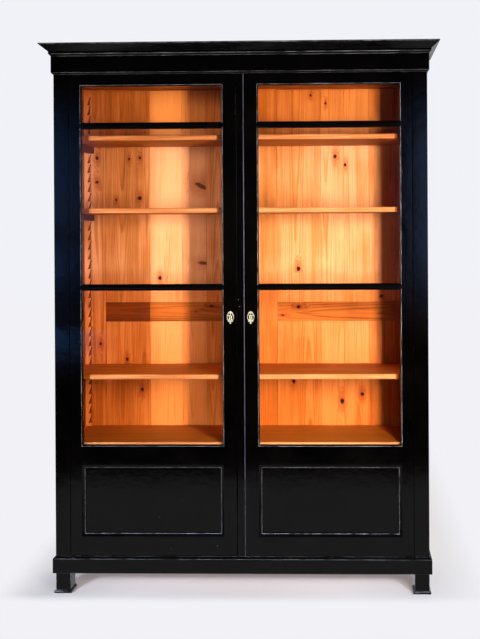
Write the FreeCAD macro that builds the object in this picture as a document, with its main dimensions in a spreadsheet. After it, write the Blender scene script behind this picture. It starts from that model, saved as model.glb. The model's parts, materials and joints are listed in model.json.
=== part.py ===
import FreeCAD, Part
import Sketcher
import os

# Two-door glazed bookcase, ebonised outside and shellacked pine inside.
# Millimetres. Z is up from the floor, the doors face -Y, X runs to the right.
# The origin is on the floor, under the middle of the whole outline.

DIMENSIONS = (
    # carcase
    ("body_width", 1456), ("body_depth", 410), ("case_height", 2093.5),
    ("front_post_width", 58), ("front_post_depth", 44),
    ("side_thickness", 28), ("back_post_depth", 58),
    ("side_rail_height", 125), ("panel_thickness", 14),
    ("panel_inset", 4), ("groove_depth", 8), ("groove_clearance", 0.2),
    ("board_thickness", 20),
    ("ceiling_drop", 79.5), ("fixed_shelf_height", 562), ("floor_board_height", 140),
    # feet and plinth
    ("foot_width", 58), ("foot_depth", 70), ("slab_height", 12),
    ("slab_overhang", 6), ("slab_bevel", 4),
    ("plinth_bottom", 79), ("plinth_height", 65), ("plinth_projection", 10), ("plinth_bevel", 9),
    # frieze and cornice
    ("frieze_height", 71), ("frieze_projection", 8), ("frieze_bevel", 7),
    ("cornice_height", 46.5), ("cornice_projection", 47), ("cornice_seat", 12),
    ("cornice_step", 16), ("cornice_bevel_height", 8.5), ("cornice_fillet_height", 9),
    ("cornice_lip", 4), ("dust_board_thickness", 14),
    # back
    ("back_thickness", 22), ("back_stile_width", 83), ("back_centre_width", 234),
    ("back_board_thickness", 12), ("back_board_recess", 5), ("boards_per_panel", 4),
    ("back_top_rail_height", 83.5), ("back_middle_rail_bottom", 1025),
    ("back_middle_rail_height", 82), ("back_bottom_rail_height", 111),
    # adjustable shelves
    ("shelf_thickness", 19), ("shelf_front_setback", 50), ("shelf_clearance", 1.5),
    ("shelf_back_clearance", 1),
    ("rack_width", 24), ("rack_thickness", 22), ("tooth_depth", 12), ("tooth_land", 5),
    ("rack_foot", 13), ("rack_head", 25), ("tooth_count", 34),
    ("cleat_height", 26), ("cleat_reach", 12), ("cleat_clearance", 0.3),
    # teeth between the lowest ledge and the ones that carry each shelf
    ("lower_tooth_count", 5), ("middle_tooth_count", 21), ("upper_tooth_count", 28),
    # doors
    ("door_thickness", 26), ("door_side_gap", 2), ("door_bottom_gap", 2), ("door_top_gap", 2.5),
    ("hinge_stile_width", 43), ("meeting_reach", 67), ("meeting_gap", 2),
    ("top_rail_height", 39.5), ("lock_rail_drop", 62), ("lock_rail_height", 71.5),
    ("bottom_rail_height", 73),
    ("top_pane_height", 150.5), ("bottom_pane_height", 611.5),
    ("bar_width", 16), ("bar_depth", 21), ("bar_chamfer", 4),
    ("bead_width", 9), ("bead_depth", 10), ("bead_chamfer", 6),
    ("glass_thickness", 3), ("fillet_width", 8), ("fillet_depth", 10),
    ("door_panel_thickness", 12), ("moulding_width", 17), ("moulding_depth", 12),
    ("moulding_chamfer", 10.5),
    ("astragal_width", 32), ("astragal_depth", 6), ("astragal_chamfer", 3),
    # pivots
    ("pivot_inset", 11), ("pivot_setback", 6), ("sweep_clearance", 0.7),
    ("pin_radius", 3.45), ("pin_clearance", 0.05),
    ("strap_length", 30), ("door_strap_thickness", 3), ("case_strap_thickness", 4),
    ("pin_end_clearance", 0.3), ("tab_width", 10), ("tab_reach", 5),
    # lock, escutcheons and shoot bolts
    ("lock_height", 1073), ("key_reach", 39.5),
    ("lock_case_width", 72), ("lock_case_height", 90), ("lock_case_depth", 14),
    ("lock_case_inset", 12), ("lock_bolt_height", 20), ("lock_bolt_thickness", 7),
    ("lock_bolt_length", 40), ("lock_bolt_setback", 1), ("slide_clearance", 0.2),
    ("keeper_depth", 14), ("keeper_clearance", 1),
    ("escutcheon_width", 33), ("escutcheon_height", 52), ("escutcheon_thickness", 1.6),
    ("keyhole_radius", 3.4), ("keyhole_slot_width", 3), ("keyhole_slot_length", 10),
    ("rod_radius", 4), ("rod_length", 145), ("rod_inset", 8), ("rod_setback", 1),
    ("bore_clearance", 0.4), ("thumb_size", 5), ("thumb_length", 8), ("bolt_travel", 12),
    ("bolt_plate_length", 110), ("bolt_plate_width", 14), ("bolt_plate_thickness", 2),
    ("socket_depth", 16),
)

doc = FreeCAD.newDocument("bookcase")
dim = doc.addObject("Spreadsheet::Sheet", "dim")
for row, (alias, value) in enumerate(DIMENSIONS, 1):
    dim.set(f"A{row}", alias)
    dim.set(f"B{row}", str(value))
    dim.setAlias(f"B{row}", alias)
doc.recompute()

# Faces that several pieces share, as expressions on the sheet.
half = "(dim.body_width / 2)"
back = "((dim.body_depth + dim.cornice_projection) / 2)"
front = f"({back} - dim.body_depth)"
wall = f"({half} - dim.side_thickness)"
post_inner = f"({half} - dim.front_post_width)"
post_back = f"({front} + dim.front_post_depth)"
back_post_front = f"({back} - dim.back_post_depth)"
back_frame_front = f"({back} - dim.back_thickness)"
pivot_y = f"({front} + dim.pivot_setback)"
# The boards stand clear of the corner that a hinge stile sweeps behind its pivot.
corner_sweep = "sqrt(dim.pivot_inset ^ 2 + (dim.door_thickness - dim.pivot_setback) ^ 2)"
board_front = f"({pivot_y} + {corner_sweep} + dim.sweep_clearance)"
plinth_top = "(dim.plinth_bottom + dim.plinth_height)"
case_top = "dim.case_height"
frieze_bottom = f"({case_top} - dim.frieze_height)"
cornice_top = f"({case_top} + dim.cornice_height)"
fixed_shelf_top = "(dim.fixed_shelf_height + dim.board_thickness)"
ceiling = f"({case_top} - dim.ceiling_drop)"
side_panel_bottom = "(dim.plinth_bottom + dim.side_rail_height)"
side_panel_top = f"({case_top} - dim.side_rail_height)"

nodes = []


def node(piece, name):
    """Keep a finished sub-part under the name of its file."""
    piece.Label = name
    nodes.append(piece)
    return piece


def block(name, x, y, z):
    """A rectangular piece between the low and high faces given for each axis."""
    box = doc.addObject("Part::Box", name)
    for side, axis, (low, high) in (("Length", "x", x), ("Width", "y", y), ("Height", "z", z)):
        box.setExpression(side, f"({high}) - ({low})")
        box.setExpression(f"Placement.Base.{axis}", low)
    return box


def rod(name, radius, x, y, z):
    """An upright cylinder on the line x, y between two heights."""
    cylinder = doc.addObject("Part::Cylinder", name)
    cylinder.setExpression("Radius", radius)
    cylinder.setExpression("Height", f"({z[1]}) - ({z[0]})")
    for axis, place in (("x", x), ("y", y), ("z", z[0])):
        cylinder.setExpression(f"Placement.Base.{axis}", place)
    return cylinder


def taper(name, x, y, z, inset, axis):
    """A block whose far end along Y or Z is smaller by an inset on every side."""
    wedge = doc.addObject("Part::Wedge", name)
    turned = axis == "z"
    if turned:
        wedge.Placement.Rotation = FreeCAD.Rotation(FreeCAD.Vector(1, 0, 0), 90)
    length, depth, height = (x, z, y) if turned else (x, y, z)
    spans = {"X": length, "Y": depth, "Z": height}
    for letter, (low, high) in spans.items():
        wedge.setExpression(f"{letter}min", "0")
        wedge.setExpression(f"{letter}max", f"({high}) - ({low})")
    for letter in ("X", "Z"):
        low, high = spans[letter]
        wedge.setExpression(f"{letter}2min", inset)
        wedge.setExpression(f"{letter}2max", f"({high}) - ({low}) - ({inset})")
    wedge.setExpression("Placement.Base.x", x[0])
    wedge.setExpression("Placement.Base.y", y[1] if turned else y[0])
    wedge.setExpression("Placement.Base.z", z[0])
    return wedge


def join(name, pieces):
    fused = doc.addObject("Part::MultiFuse", name)
    fused.Shapes = pieces
    return fused


def group(name, pieces):
    """Separate solids that share one node."""
    compound = doc.addObject("Part::Compound", name)
    compound.Links = pieces
    return compound


def cut(name, base, tools):
    result = doc.addObject("Part::Cut", name)
    result.Base = base
    result.Tool = tools[0] if len(tools) == 1 else join(name + "_hollows", tools)
    return result


def design(name, x="0", y="0", z="0"):
    """A PartDesign body whose own origin is bound to a place in the case."""
    body = doc.addObject("PartDesign::Body", name)
    for axis, place in (("x", x), ("y", y), ("z", z)):
        body.setExpression(f"Placement.Base.{axis}", place)
    return body


def sketch(body, role, name, *outlines):
    """Closed straight-sided outlines on one of the body's origin planes, corner by corner."""
    drawing = body.newObject("Sketcher::SketchObject", name)
    plane = [item for item in body.Origin.OriginFeatures if item.Role == role][0]
    drawing.AttachmentSupport = [(plane, "")]
    drawing.MapMode = "FlatFace"
    for corners in outlines:
        count = len(corners)
        first = drawing.GeometryCount
        points = [FreeCAD.Vector(drawing.evalExpression(across), drawing.evalExpression(up), 0)
                  for across, up in corners]
        for index in range(count):
            drawing.addGeometry(Part.LineSegment(points[index], points[(index + 1) % count]))
        for index in range(count):
            following = first + (index + 1) % count
            drawing.addConstraint(Sketcher.Constraint("Coincident", first + index, 2, following, 1))
        for index, (across, up) in enumerate(corners):
            for kind, value, text in (("DistanceX", points[index].x, across),
                                      ("DistanceY", points[index].y, up)):
                number = drawing.addConstraint(
                    Sketcher.Constraint(kind, -1, 1, first + index, 1, value))
                drawing.setExpression(f"Constraints[{number}]", text)
    return drawing


def pad(body, drawing, length, symmetric=False, reverse=False):
    feature = body.newObject("PartDesign::Pad", drawing.Name + "_pad")
    feature.Profile = drawing
    feature.Midplane = symmetric
    feature.Reversed = reverse
    feature.setExpression("Length", length)
    body.Tip = feature
    return feature


def pocket(body, drawing):
    """Cut an outline right through, on both sides of its plane."""
    feature = body.newObject("PartDesign::Pocket", drawing.Name + "_pocket")
    feature.Profile = drawing
    feature.Type = "ThroughAll"
    feature.Midplane = True
    body.Tip = feature
    return feature


SIDES = (("left", -1), ("right", 1))


def sided(sign, low, high):
    """A span given for the right-hand side, mirrored for the left."""
    return (low, high) if sign > 0 else (f"-({high})", f"-({low})")


def mirrored(sign, place):
    return place if sign > 0 else f"-({place})"


# ---------------------------------------------------------------- feet and posts

feet = []
for side, sign in SIDES:
    for end, (low, high) in (("front", (front, f"{front} + dim.foot_depth")),
                             ("back", (f"{back} - dim.foot_depth", back))):
        over = "dim.slab_overhang"
        x = sided(sign, f"{half} - dim.foot_width", half)
        x_slab = sided(sign, f"{half} - dim.foot_width - {over}", f"{half} + {over}")
        y_slab = (f"{low} - {over}", f"{high} + {over}" if end == "front" else high)
        bevel_base = "dim.slab_height - dim.slab_bevel"
        label = f"foot_{end}_{side}"
        feet.append(join(label, [
            block(label + "_slab", x_slab, y_slab, ("0", bevel_base)),
            taper(label + "_bevel", x_slab, y_slab, (bevel_base, "dim.slab_height"),
                  "dim.slab_bevel", "z"),
            block(label + "_block", x, (low, high), (bevel_base, "dim.plinth_bottom")),
        ]))
node(group("feet", feet), "feet")

groove_x = (f"{wall} + dim.panel_inset - dim.groove_clearance",
            f"{wall} + dim.panel_inset + dim.panel_thickness + dim.groove_clearance")
groove_z = (f"{side_panel_bottom} - dim.groove_depth", f"{side_panel_top} + dim.groove_depth")
case_z = ("dim.plinth_bottom", case_top)
for side, sign in SIDES:
    groove = sided(sign, *groove_x)
    node(cut(f"front_post_{side}",
             block(f"front_post_{side}_blank", sided(sign, post_inner, half),
                   (front, post_back), case_z),
             [block(f"front_post_{side}_groove", groove,
                    (f"{post_back} - dim.groove_depth", post_back), groove_z)]),
         f"front_post_{side}")
    node(cut(f"back_post_{side}",
             block(f"back_post_{side}_blank", sided(sign, wall, half),
                   (back_post_front, back), case_z),
             [block(f"back_post_{side}_groove", groove,
                    (back_post_front, f"{back_post_front} + dim.groove_depth"), groove_z)]),
         f"back_post_{side}")

# ---------------------------------------------------------------- sides

side_y = (post_back, back_post_front)
side_rails = []
for side, sign in SIDES:
    outer = sided(sign, wall, half)
    groove = sided(sign, *groove_x)
    side_rails.append(cut(
        f"side_rail_bottom_{side}",
        block(f"side_rail_bottom_{side}_blank", outer, side_y,
              ("dim.plinth_bottom", side_panel_bottom)),
        [block(f"side_rail_bottom_{side}_groove", groove, side_y,
               (f"{side_panel_bottom} - dim.groove_depth", side_panel_bottom))]))
    side_rails.append(cut(
        f"side_rail_top_{side}",
        block(f"side_rail_top_{side}_blank", outer, side_y, (side_panel_top, case_top)),
        [block(f"side_rail_top_{side}_groove", groove, side_y,
               (side_panel_top, f"{side_panel_top} + dim.groove_depth"))]))
    tongue = "(dim.groove_depth - dim.groove_clearance)"
    node(block(f"side_panel_{side}",
               sided(sign, f"{wall} + dim.panel_inset",
                     f"{wall} + dim.panel_inset + dim.panel_thickness"),
               (f"{post_back} - {tongue}", f"{back_post_front} + {tongue}"),
               (f"{side_panel_bottom} - {tongue}", f"{side_panel_top} + {tongue}")),
         f"side_panel_{side}")
node(group("side_rails", side_rails), "side_rails")

# ---------------------------------------------------------------- door geometry shared with the case

hinge_edge = f"({post_inner} - dim.door_side_gap)"
door_bottom = f"({plinth_top} + dim.door_bottom_gap)"
door_top = f"({frieze_bottom} - dim.door_top_gap)"
door_back = f"({front} + dim.door_thickness)"
opening_outer = f"({hinge_edge} - dim.hinge_stile_width)"
opening_inner = "dim.meeting_reach"
# The right door carries the astragal, so its own edge is the astragal's edge.
meeting_edge = {"right": "(-dim.astragal_width / 2)",
                "left": "(dim.astragal_width / 2 + dim.meeting_gap)"}
pivot_x = f"({hinge_edge} - dim.pivot_inset)"
strap_y = (front, f"{front} + 2 * dim.pivot_setback")
strap_inner = f"({pivot_x} - dim.strap_length)"
rod_x = f"(-({meeting_edge['left']} + dim.rod_inset))"
rod_y = f"({front} + dim.door_thickness / 2)"
bore_radius = "(dim.rod_radius + dim.bore_clearance)"


def strap(name, x_side, z, eye_radius="dim.pivot_setback"):
    """A pivot plate: a strap that ends in a round eye on the door's axis."""
    return join(name, [
        block(name + "_strap", sided(x_side, strap_inner, pivot_x), strap_y, z),
        rod(name + "_eye", eye_radius, mirrored(x_side, pivot_x), pivot_y, z),
    ])


def tab(name, x_side):
    """The tongue of a lower pivot plate that shows on the plinth's bevel."""
    return block(name, sided(x_side, f"{pivot_x} - dim.tab_width / 2",
                             f"{pivot_x} + dim.tab_width / 2"),
                 (f"{front} - dim.tab_reach", pivot_y), case_strap_low)


# ---------------------------------------------------------------- rails and boards of the case

case_strap_low = (f"{plinth_top} - dim.case_strap_thickness", plinth_top)
case_strap_high = (frieze_bottom, f"{frieze_bottom} + dim.case_strap_thickness")
face_y = (front, board_front)
face_x = (f"-{post_inner}", post_inner)
node(cut("sill_rail", block("sill_rail_blank", face_x, face_y, ("dim.plinth_bottom", plinth_top)),
         [strap(f"sill_{side}_seat", sign, case_strap_low) for side, sign in SIDES]
         + [tab(f"sill_{side}_tab_seat", sign) for side, sign in SIDES]
         + [rod("sill_bolt_socket", bore_radius, rod_x, rod_y,
                (f"{plinth_top} - dim.socket_depth", plinth_top))]), "sill_rail")
node(cut("head_rail", block("head_rail_blank", face_x, face_y, (frieze_bottom, case_top)),
         [strap(f"head_{side}_seat", sign, case_strap_high) for side, sign in SIDES]
         + [rod("head_bolt_socket", bore_radius, rod_x, rod_y,
                (frieze_bottom, f"{frieze_bottom} + dim.socket_depth"))]), "head_rail")

for name, low in (("bottom_board", "dim.floor_board_height"),
                  ("fixed_shelf", "dim.fixed_shelf_height"),
                  ("top_board", ceiling)):
    z = (low, f"{low} + dim.board_thickness")
    node(cut(name, block(name + "_blank", (f"-{wall}", wall), (board_front, back_frame_front), z),
             [block(f"{name}_notch_{side}", sided(sign, post_inner, wall),
                    (board_front, post_back), z) for side, sign in SIDES]), name)

# ---------------------------------------------------------------- plinth, frieze and cornice


def moulding(name, side, profile, reach, seat):
    """A length of moulding planted on the case, mitred where it turns a front corner.

    The profile's corners are (distance out from the case, height).
    """
    if side == "front":
        body = design(name)
        drawing = sketch(body, "YZ_Plane", name + "_profile",
                         [(f"{front} - ({out})", up) for out, up in profile])
        pad(body, drawing, f"2 * ({half} + {reach})", symmetric=True)
        corners = [[(mirrored(sign, f"({half} + {reach})"), f"{front} - {reach}"),
                    (mirrored(sign, f"({half} + {reach})"), f"{front} + {seat}"),
                    (mirrored(sign, f"({half} - {seat})"), f"{front} + {seat}")]
                   for sign in (-1, 1)]
    else:
        sign = dict(SIDES)[side]
        body = design(name, y=back)
        drawing = sketch(body, "XZ_Plane", name + "_profile",
                         [(mirrored(sign, f"({half} + ({out}))"), up) for out, up in profile])
        pad(body, drawing, f"dim.body_depth + {reach}")
        corners = [[(mirrored(sign, f"({half} + {reach})"), f"-dim.body_depth - {reach}"),
                    (mirrored(sign, f"({half} - {seat})"), f"-dim.body_depth - {reach}"),
                    (mirrored(sign, f"({half} - {seat})"), f"-dim.body_depth + {seat}")]]
    pocket(body, sketch(body, "XY_Plane", name + "_mitre", *corners))
    return body


plinth_profile = [
    ("0", "dim.plinth_bottom"), ("dim.plinth_projection", "dim.plinth_bottom"),
    ("dim.plinth_projection", f"{plinth_top} - dim.plinth_bevel"),
    ("dim.plinth_projection - dim.plinth_bevel", plinth_top), ("0", plinth_top)]
frieze_profile = [
    ("0", frieze_bottom), ("dim.frieze_projection - dim.frieze_bevel", frieze_bottom),
    ("dim.frieze_projection", f"{frieze_bottom} + dim.frieze_bevel"),
    ("dim.frieze_projection", case_top), ("0", case_top)]
fillet_bottom = f"({case_top} + dim.cornice_bevel_height)"
fillet_top = f"({fillet_bottom} + dim.cornice_fillet_height)"
cornice_profile = [
    ("-dim.cornice_seat", case_top), ("dim.frieze_projection", case_top),
    ("dim.cornice_step", fillet_bottom), ("dim.cornice_step", fillet_top),
    ("dim.cornice_projection", f"{cornice_top} - dim.cornice_lip"),
    ("dim.cornice_projection", cornice_top), ("-dim.cornice_seat", cornice_top)]
for side in ("front", "left", "right"):
    plinth = moulding(f"plinth_{side}_run", side, plinth_profile, "dim.plinth_projection", "0")
    if side == "front":
        plinth = cut("plinth_front_board", plinth,
                     [tab(f"plinth_{hand}_tab_seat", sign) for hand, sign in SIDES])
    node(plinth, f"plinth_{side}")
    node(moulding(f"frieze_{side}", side, frieze_profile, "dim.frieze_projection", "0"),
         f"frieze_{side}")
    node(moulding(f"cornice_{side}", side, cornice_profile,
                  "dim.cornice_projection", "dim.cornice_seat"), f"cornice_{side}")
seat_x = f"({half} - dim.cornice_seat)"
node(block("dust_board", (f"-{seat_x}", seat_x), (f"{front} + dim.cornice_seat", back),
           (case_top, f"{case_top} + dim.dust_board_thickness")), "dust_board")

# ---------------------------------------------------------------- back

back_y = (back_frame_front, back)
field_outer = f"({wall} - dim.back_stile_width)"
field_inner = "(dim.back_centre_width / 2)"
node(group("back_stiles", [
    block("back_stile_left", (f"-{wall}", f"-{field_outer}"), back_y, case_z),
    block("back_stile_centre", (f"-{field_inner}", field_inner), back_y, case_z),
    block("back_stile_right", (field_outer, wall), back_y, case_z)]), "back_stiles")
top_rail_bottom = f"({case_top} - dim.back_top_rail_height)"
middle_rail_top = "(dim.back_middle_rail_bottom + dim.back_middle_rail_height)"
bottom_rail_top = "(dim.plinth_bottom + dim.back_bottom_rail_height)"
back_rails = []
for label, z in (("top", (top_rail_bottom, case_top)),
                 ("middle", ("dim.back_middle_rail_bottom", middle_rail_top)),
                 ("bottom", ("dim.plinth_bottom", bottom_rail_top))):
    for side, sign in SIDES:
        back_rails.append(block(f"back_rail_{label}_{side}",
                                sided(sign, field_inner, field_outer), back_y, z))
node(group("back_rails", back_rails), "back_rails")

back_board_y = (f"{back_frame_front} + dim.back_board_recess",
                f"{back_frame_front} + dim.back_board_recess + dim.back_board_thickness")
board_width = f"(({field_outer} - {field_inner}) / dim.boards_per_panel)"
board_count = int(dim.boards_per_panel)
for label, z in (("upper", (middle_rail_top, top_rail_bottom)),
                 ("lower", (bottom_rail_top, "dim.back_middle_rail_bottom"))):
    boards = []
    for side, sign in SIDES:
        for index in range(board_count):
            x = sided(sign, f"{field_inner} + {index} * {board_width}",
                      f"{field_inner} + {index + 1} * {board_width}")
            boards.append(block(f"back_board_{label}_{side}_{index + 1}", x, back_board_y, z))
    node(group(f"back_boards_{label}", boards), f"back_boards_{label}")

# ---------------------------------------------------------------- shelf racks, cleats and shelves

rack_tip = f"({wall} - dim.rack_width)"
rack_root = f"({rack_tip} + dim.tooth_depth)"
rack_places = {"front": (post_back, f"{post_back} + dim.rack_thickness"),
               "back": (f"{back_frame_front} - dim.rack_thickness", back_frame_front)}
first_ledge = f"({fixed_shelf_top} + dim.rack_foot)"
tooth_pitch = f"(({ceiling} - dim.rack_head - {first_ledge}) / dim.tooth_count)"
notch_height = f"({tooth_pitch} - dim.tooth_land)"


def rack(name, sign, y):
    """A toothed strip: flat ledges that carry a cleat, each under a sloping notch."""
    body = design(name, y=y[1])
    strip = [(rack_tip, fixed_shelf_top), (wall, fixed_shelf_top),
             (wall, ceiling), (rack_tip, ceiling)]
    pad(body, sketch(body, "XZ_Plane", name + "_strip",
                     [(mirrored(sign, across), up) for across, up in strip]),
        "dim.rack_thickness")
    notch = [(rack_tip, first_ledge), (rack_root, first_ledge),
             (rack_tip, f"{first_ledge} + {notch_height}")]
    notches = pocket(body, sketch(body, "XZ_Plane", name + "_notch",
                                  [(mirrored(sign, across), up) for across, up in notch]))
    pattern = body.newObject("PartDesign::LinearPattern", name + "_teeth")
    pattern.Originals = [notches]
    upright = [item for item in body.Origin.OriginFeatures if item.Role == "Z_Axis"][0]
    pattern.Direction = (upright, [""])
    pattern.setExpression("Length", f"{tooth_pitch} * (dim.tooth_count - 1)")
    pattern.setExpression("Occurrences", "dim.tooth_count")
    body.Tip = pattern
    return body


for side, sign in SIDES:
    node(group(f"racks_{side}", [rack(f"rack_{end}_{side}", sign, y)
                                 for end, y in rack_places.items()]), f"racks_{side}")

notch_slope = f"(dim.tooth_depth / {notch_height})"
cleat_outer = f"({rack_root} - dim.cleat_clearance)"
cleat_inner = f"({rack_tip} - dim.cleat_reach)"
cleats = []
for shelf in ("upper", "middle", "lower"):
    ledge = f"({first_ledge} + dim.{shelf}_tooth_count * {tooth_pitch})"
    rest = f"({ledge} + dim.cleat_height)"
    profile = [(cleat_inner, ledge), (cleat_outer, ledge),
               (f"{cleat_outer} - dim.cleat_height * {notch_slope}", rest), (cleat_inner, rest)]
    for side, sign in SIDES:
        cleat = design(f"cleat_{shelf}_{side}", y=back_frame_front)
        pad(cleat, sketch(cleat, "XZ_Plane", f"cleat_{shelf}_{side}_profile",
                          [(mirrored(sign, across), up) for across, up in profile]),
            f"{back_frame_front} - {post_back}")
        cleats.append(cleat)
    z = (rest, f"{rest} + dim.shelf_thickness")
    shelf_front = f"({front} + dim.shelf_front_setback)"
    shelf_back = f"({back_frame_front} - dim.shelf_back_clearance)"
    shelf_end = f"({wall} - dim.shelf_clearance)"
    corner_x = (f"{rack_tip} - dim.shelf_clearance", shelf_end)
    corners = [(side, sign, end, y) for side, sign in SIDES for end, y in (
        ("front", (shelf_front, f"{rack_places['front'][1]} + dim.shelf_clearance")),
        ("back", (f"{rack_places['back'][0]} - dim.shelf_clearance", shelf_back)))]
    node(cut(f"shelf_{shelf}",
             block(f"shelf_{shelf}_blank", (f"-{shelf_end}", shelf_end),
                   (shelf_front, shelf_back), z),
             [block(f"shelf_{shelf}_corner_{end}_{side}", sided(sign, *corner_x), y, z)
              for side, sign, end, y in corners]), f"shelf_{shelf}")
node(group("shelf_cleats", cleats), "shelf_cleats")

# ---------------------------------------------------------------- pivot plates on the case

hole_radius = "(dim.pin_radius + dim.pin_clearance)"
plates = []
for side, sign in SIDES:
    x = mirrored(sign, pivot_x)
    low_plate = join(f"case_plate_bottom_{side}_blank",
                     [strap(f"case_plate_bottom_{side}_body", sign, case_strap_low),
                      tab(f"case_plate_bottom_{side}_tab", sign)])
    plates.append(cut(f"case_plate_bottom_{side}", low_plate,
                      [rod(f"case_hole_bottom_{side}", hole_radius, x, pivot_y, case_strap_low)]))
    plates.append(cut(f"case_plate_top_{side}",
                      strap(f"case_plate_top_{side}_body", sign, case_strap_high),
                      [rod(f"case_hole_top_{side}", hole_radius, x, pivot_y, case_strap_high)]))
node(group("pivot_sockets", plates), "pivot_sockets")

# ---------------------------------------------------------------- doors

panel_top = "(dim.fixed_shelf_height - dim.lock_rail_drop)"
opening_bottom = f"({panel_top} + dim.lock_rail_height)"
opening_top = f"({door_top} - dim.top_rail_height)"
panel_bottom = f"({door_bottom} + dim.bottom_rail_height)"
upper_bar = (f"{opening_top} - dim.top_pane_height - dim.bar_width",
             f"{opening_top} - dim.top_pane_height")
lower_bar = (f"{opening_bottom} + dim.bottom_pane_height",
             f"{opening_bottom} + dim.bottom_pane_height + dim.bar_width")
pane_heights = (("top", (upper_bar[1], opening_top)),
                ("middle", (lower_bar[1], upper_bar[0])),
                ("bottom", (opening_bottom, lower_bar[0])))
door_z = (door_bottom, door_top)
door_y = (front, door_back)
bead_back = f"({front} + dim.bead_depth)"
glass_back = f"({bead_back} + dim.glass_thickness)"
moulding_back = f"({front} + dim.moulding_depth)"
door_strap_low = (door_bottom, f"{door_bottom} + dim.door_strap_thickness")
door_strap_high = (f"{door_top} - dim.door_strap_thickness", door_top)


def shrunk(span, inset):
    return (f"({span[0]}) + {inset}", f"({span[1]}) - {inset}")


def ring(name, x, y, z, width, chamfer=None):
    """A frame of moulding round an opening, with its inner front edge sloped back."""
    inner_x, inner_z = shrunk(x, width), shrunk(z, width)
    hollow = [block(name + "_hollow", inner_x, y, inner_z)]
    if chamfer:
        # The slope starts a chamfer's width outside the hollow and ends on it.
        hollow.append(taper(name + "_slope",
                            shrunk(inner_x, f"(-{chamfer})"), (y[0], f"{y[0]} + {chamfer}"),
                            shrunk(inner_z, f"(-{chamfer})"), chamfer, "y"))
    return cut(name, block(name + "_blank", x, y, z), hollow)


def door(side, sign):
    name = f"door_{side}"
    opening_x = sided(sign, opening_inner, opening_outer)
    pivot = mirrored(sign, pivot_x)
    seats = [strap(f"{name}_seat_bottom", sign, door_strap_low),
             strap(f"{name}_seat_top", sign, door_strap_high)]
    node(cut(f"{name}_hinge_stile", block(f"{name}_hinge_blank",
                                          sided(sign, opening_outer, hinge_edge), door_y, door_z),
             seats), f"{name}_hinge_stile")

    hollows = lock_hollows() if side == "right" else keeper_hollows()
    node(cut(f"{name}_meeting_stile",
             block(f"{name}_meeting_blank", sided(sign, meeting_edge[side], opening_inner),
                   door_y, door_z), hollows), f"{name}_meeting_stile")

    node(group(f"{name}_rails", [
        block(f"{name}_top_rail", opening_x, door_y, (opening_top, door_top)),
        block(f"{name}_lock_rail", opening_x, door_y, (panel_top, opening_bottom)),
        block(f"{name}_bottom_rail", opening_x, door_y, (door_bottom, panel_bottom)),
    ]), f"{name}_rails")

    bars = []
    for label, (low, high) in (("upper", upper_bar), ("lower", lower_bar)):
        bar_back = f"{front} + dim.bar_depth"
        soft = "dim.bar_chamfer"
        bar = design(f"{name}_{label}_bar", x=opening_x[0])
        pad(bar, sketch(bar, "YZ_Plane", f"{name}_{label}_bar_profile", [
            (bar_back, low), (bar_back, high), (f"{front} + {soft}", high),
            (front, f"{high} - {soft}"), (front, f"{low} + {soft}"),
            (f"{front} + {soft}", low)]), f"({opening_x[1]}) - ({opening_x[0]})")
        bars.append(bar)
    node(group(f"{name}_glazing_bars", bars), f"{name}_glazing_bars")

    panes, beads = [], []
    for label, z in pane_heights:
        panes.append(block(f"{name}_pane_{label}", opening_x, (bead_back, glass_back), z))
        beads.append(ring(f"{name}_bead_{label}", opening_x, (front, bead_back), z,
                          "dim.bead_width", "dim.bead_chamfer"))
        beads.append(ring(f"{name}_fillet_{label}", opening_x,
                          (glass_back, f"{glass_back} + dim.fillet_depth"), z,
                          "dim.fillet_width"))
    node(group(f"{name}_glass", panes), f"{name}_glass")
    node(group(f"{name}_glazing_beads", beads), f"{name}_glazing_beads")

    panel_z = (panel_bottom, panel_top)
    node(block(f"{name}_panel", opening_x,
               (moulding_back, f"{moulding_back} + dim.door_panel_thickness"), panel_z),
         f"{name}_panel")
    node(ring(f"{name}_panel_moulding", opening_x, (front, moulding_back), panel_z,
              "dim.moulding_width", "dim.moulding_chamfer"), f"{name}_panel_moulding")

    node(group(f"{name}_pivots", [
        join(f"{name}_pivot_bottom", [
            strap(f"{name}_plate_bottom", sign, door_strap_low),
            rod(f"{name}_pin_bottom", "dim.pin_radius", pivot, pivot_y,
                (f"{case_strap_low[0]} + dim.pin_end_clearance", door_bottom))]),
        join(f"{name}_pivot_top", [
            strap(f"{name}_plate_top", sign, door_strap_high),
            rod(f"{name}_pin_top", "dim.pin_radius", pivot, pivot_y,
                (door_top, f"{case_strap_high[1]} - dim.pin_end_clearance"))]),
    ]), f"{name}_pivots")
    node(escutcheon(f"{name}_escutcheon", mirrored(sign, "dim.key_reach")),
         f"{name}_escutcheon")


# ---------------------------------------------------------------- lock and keeper

lock_x = (meeting_edge["right"], f"{meeting_edge['right']} + dim.lock_case_width")
lock_y = (f"{door_back} - dim.lock_case_inset",
          f"{door_back} - dim.lock_case_inset + dim.lock_case_depth")
lock_z = ("dim.lock_height - dim.lock_case_height / 2",
          "dim.lock_height + dim.lock_case_height / 2")
bolt_y = (f"({lock_y[0]}) + dim.lock_case_depth / 3 - dim.lock_bolt_thickness / 2",
          f"({lock_y[0]}) + dim.lock_case_depth / 3 + dim.lock_bolt_thickness / 2")
bolt_z = ("dim.lock_height - dim.lock_bolt_height / 2",
          "dim.lock_height + dim.lock_bolt_height / 2")
bolt_x = (f"{meeting_edge['right']} + dim.lock_bolt_setback",
          f"{meeting_edge['right']} + dim.lock_bolt_setback + dim.lock_bolt_length")


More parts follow.
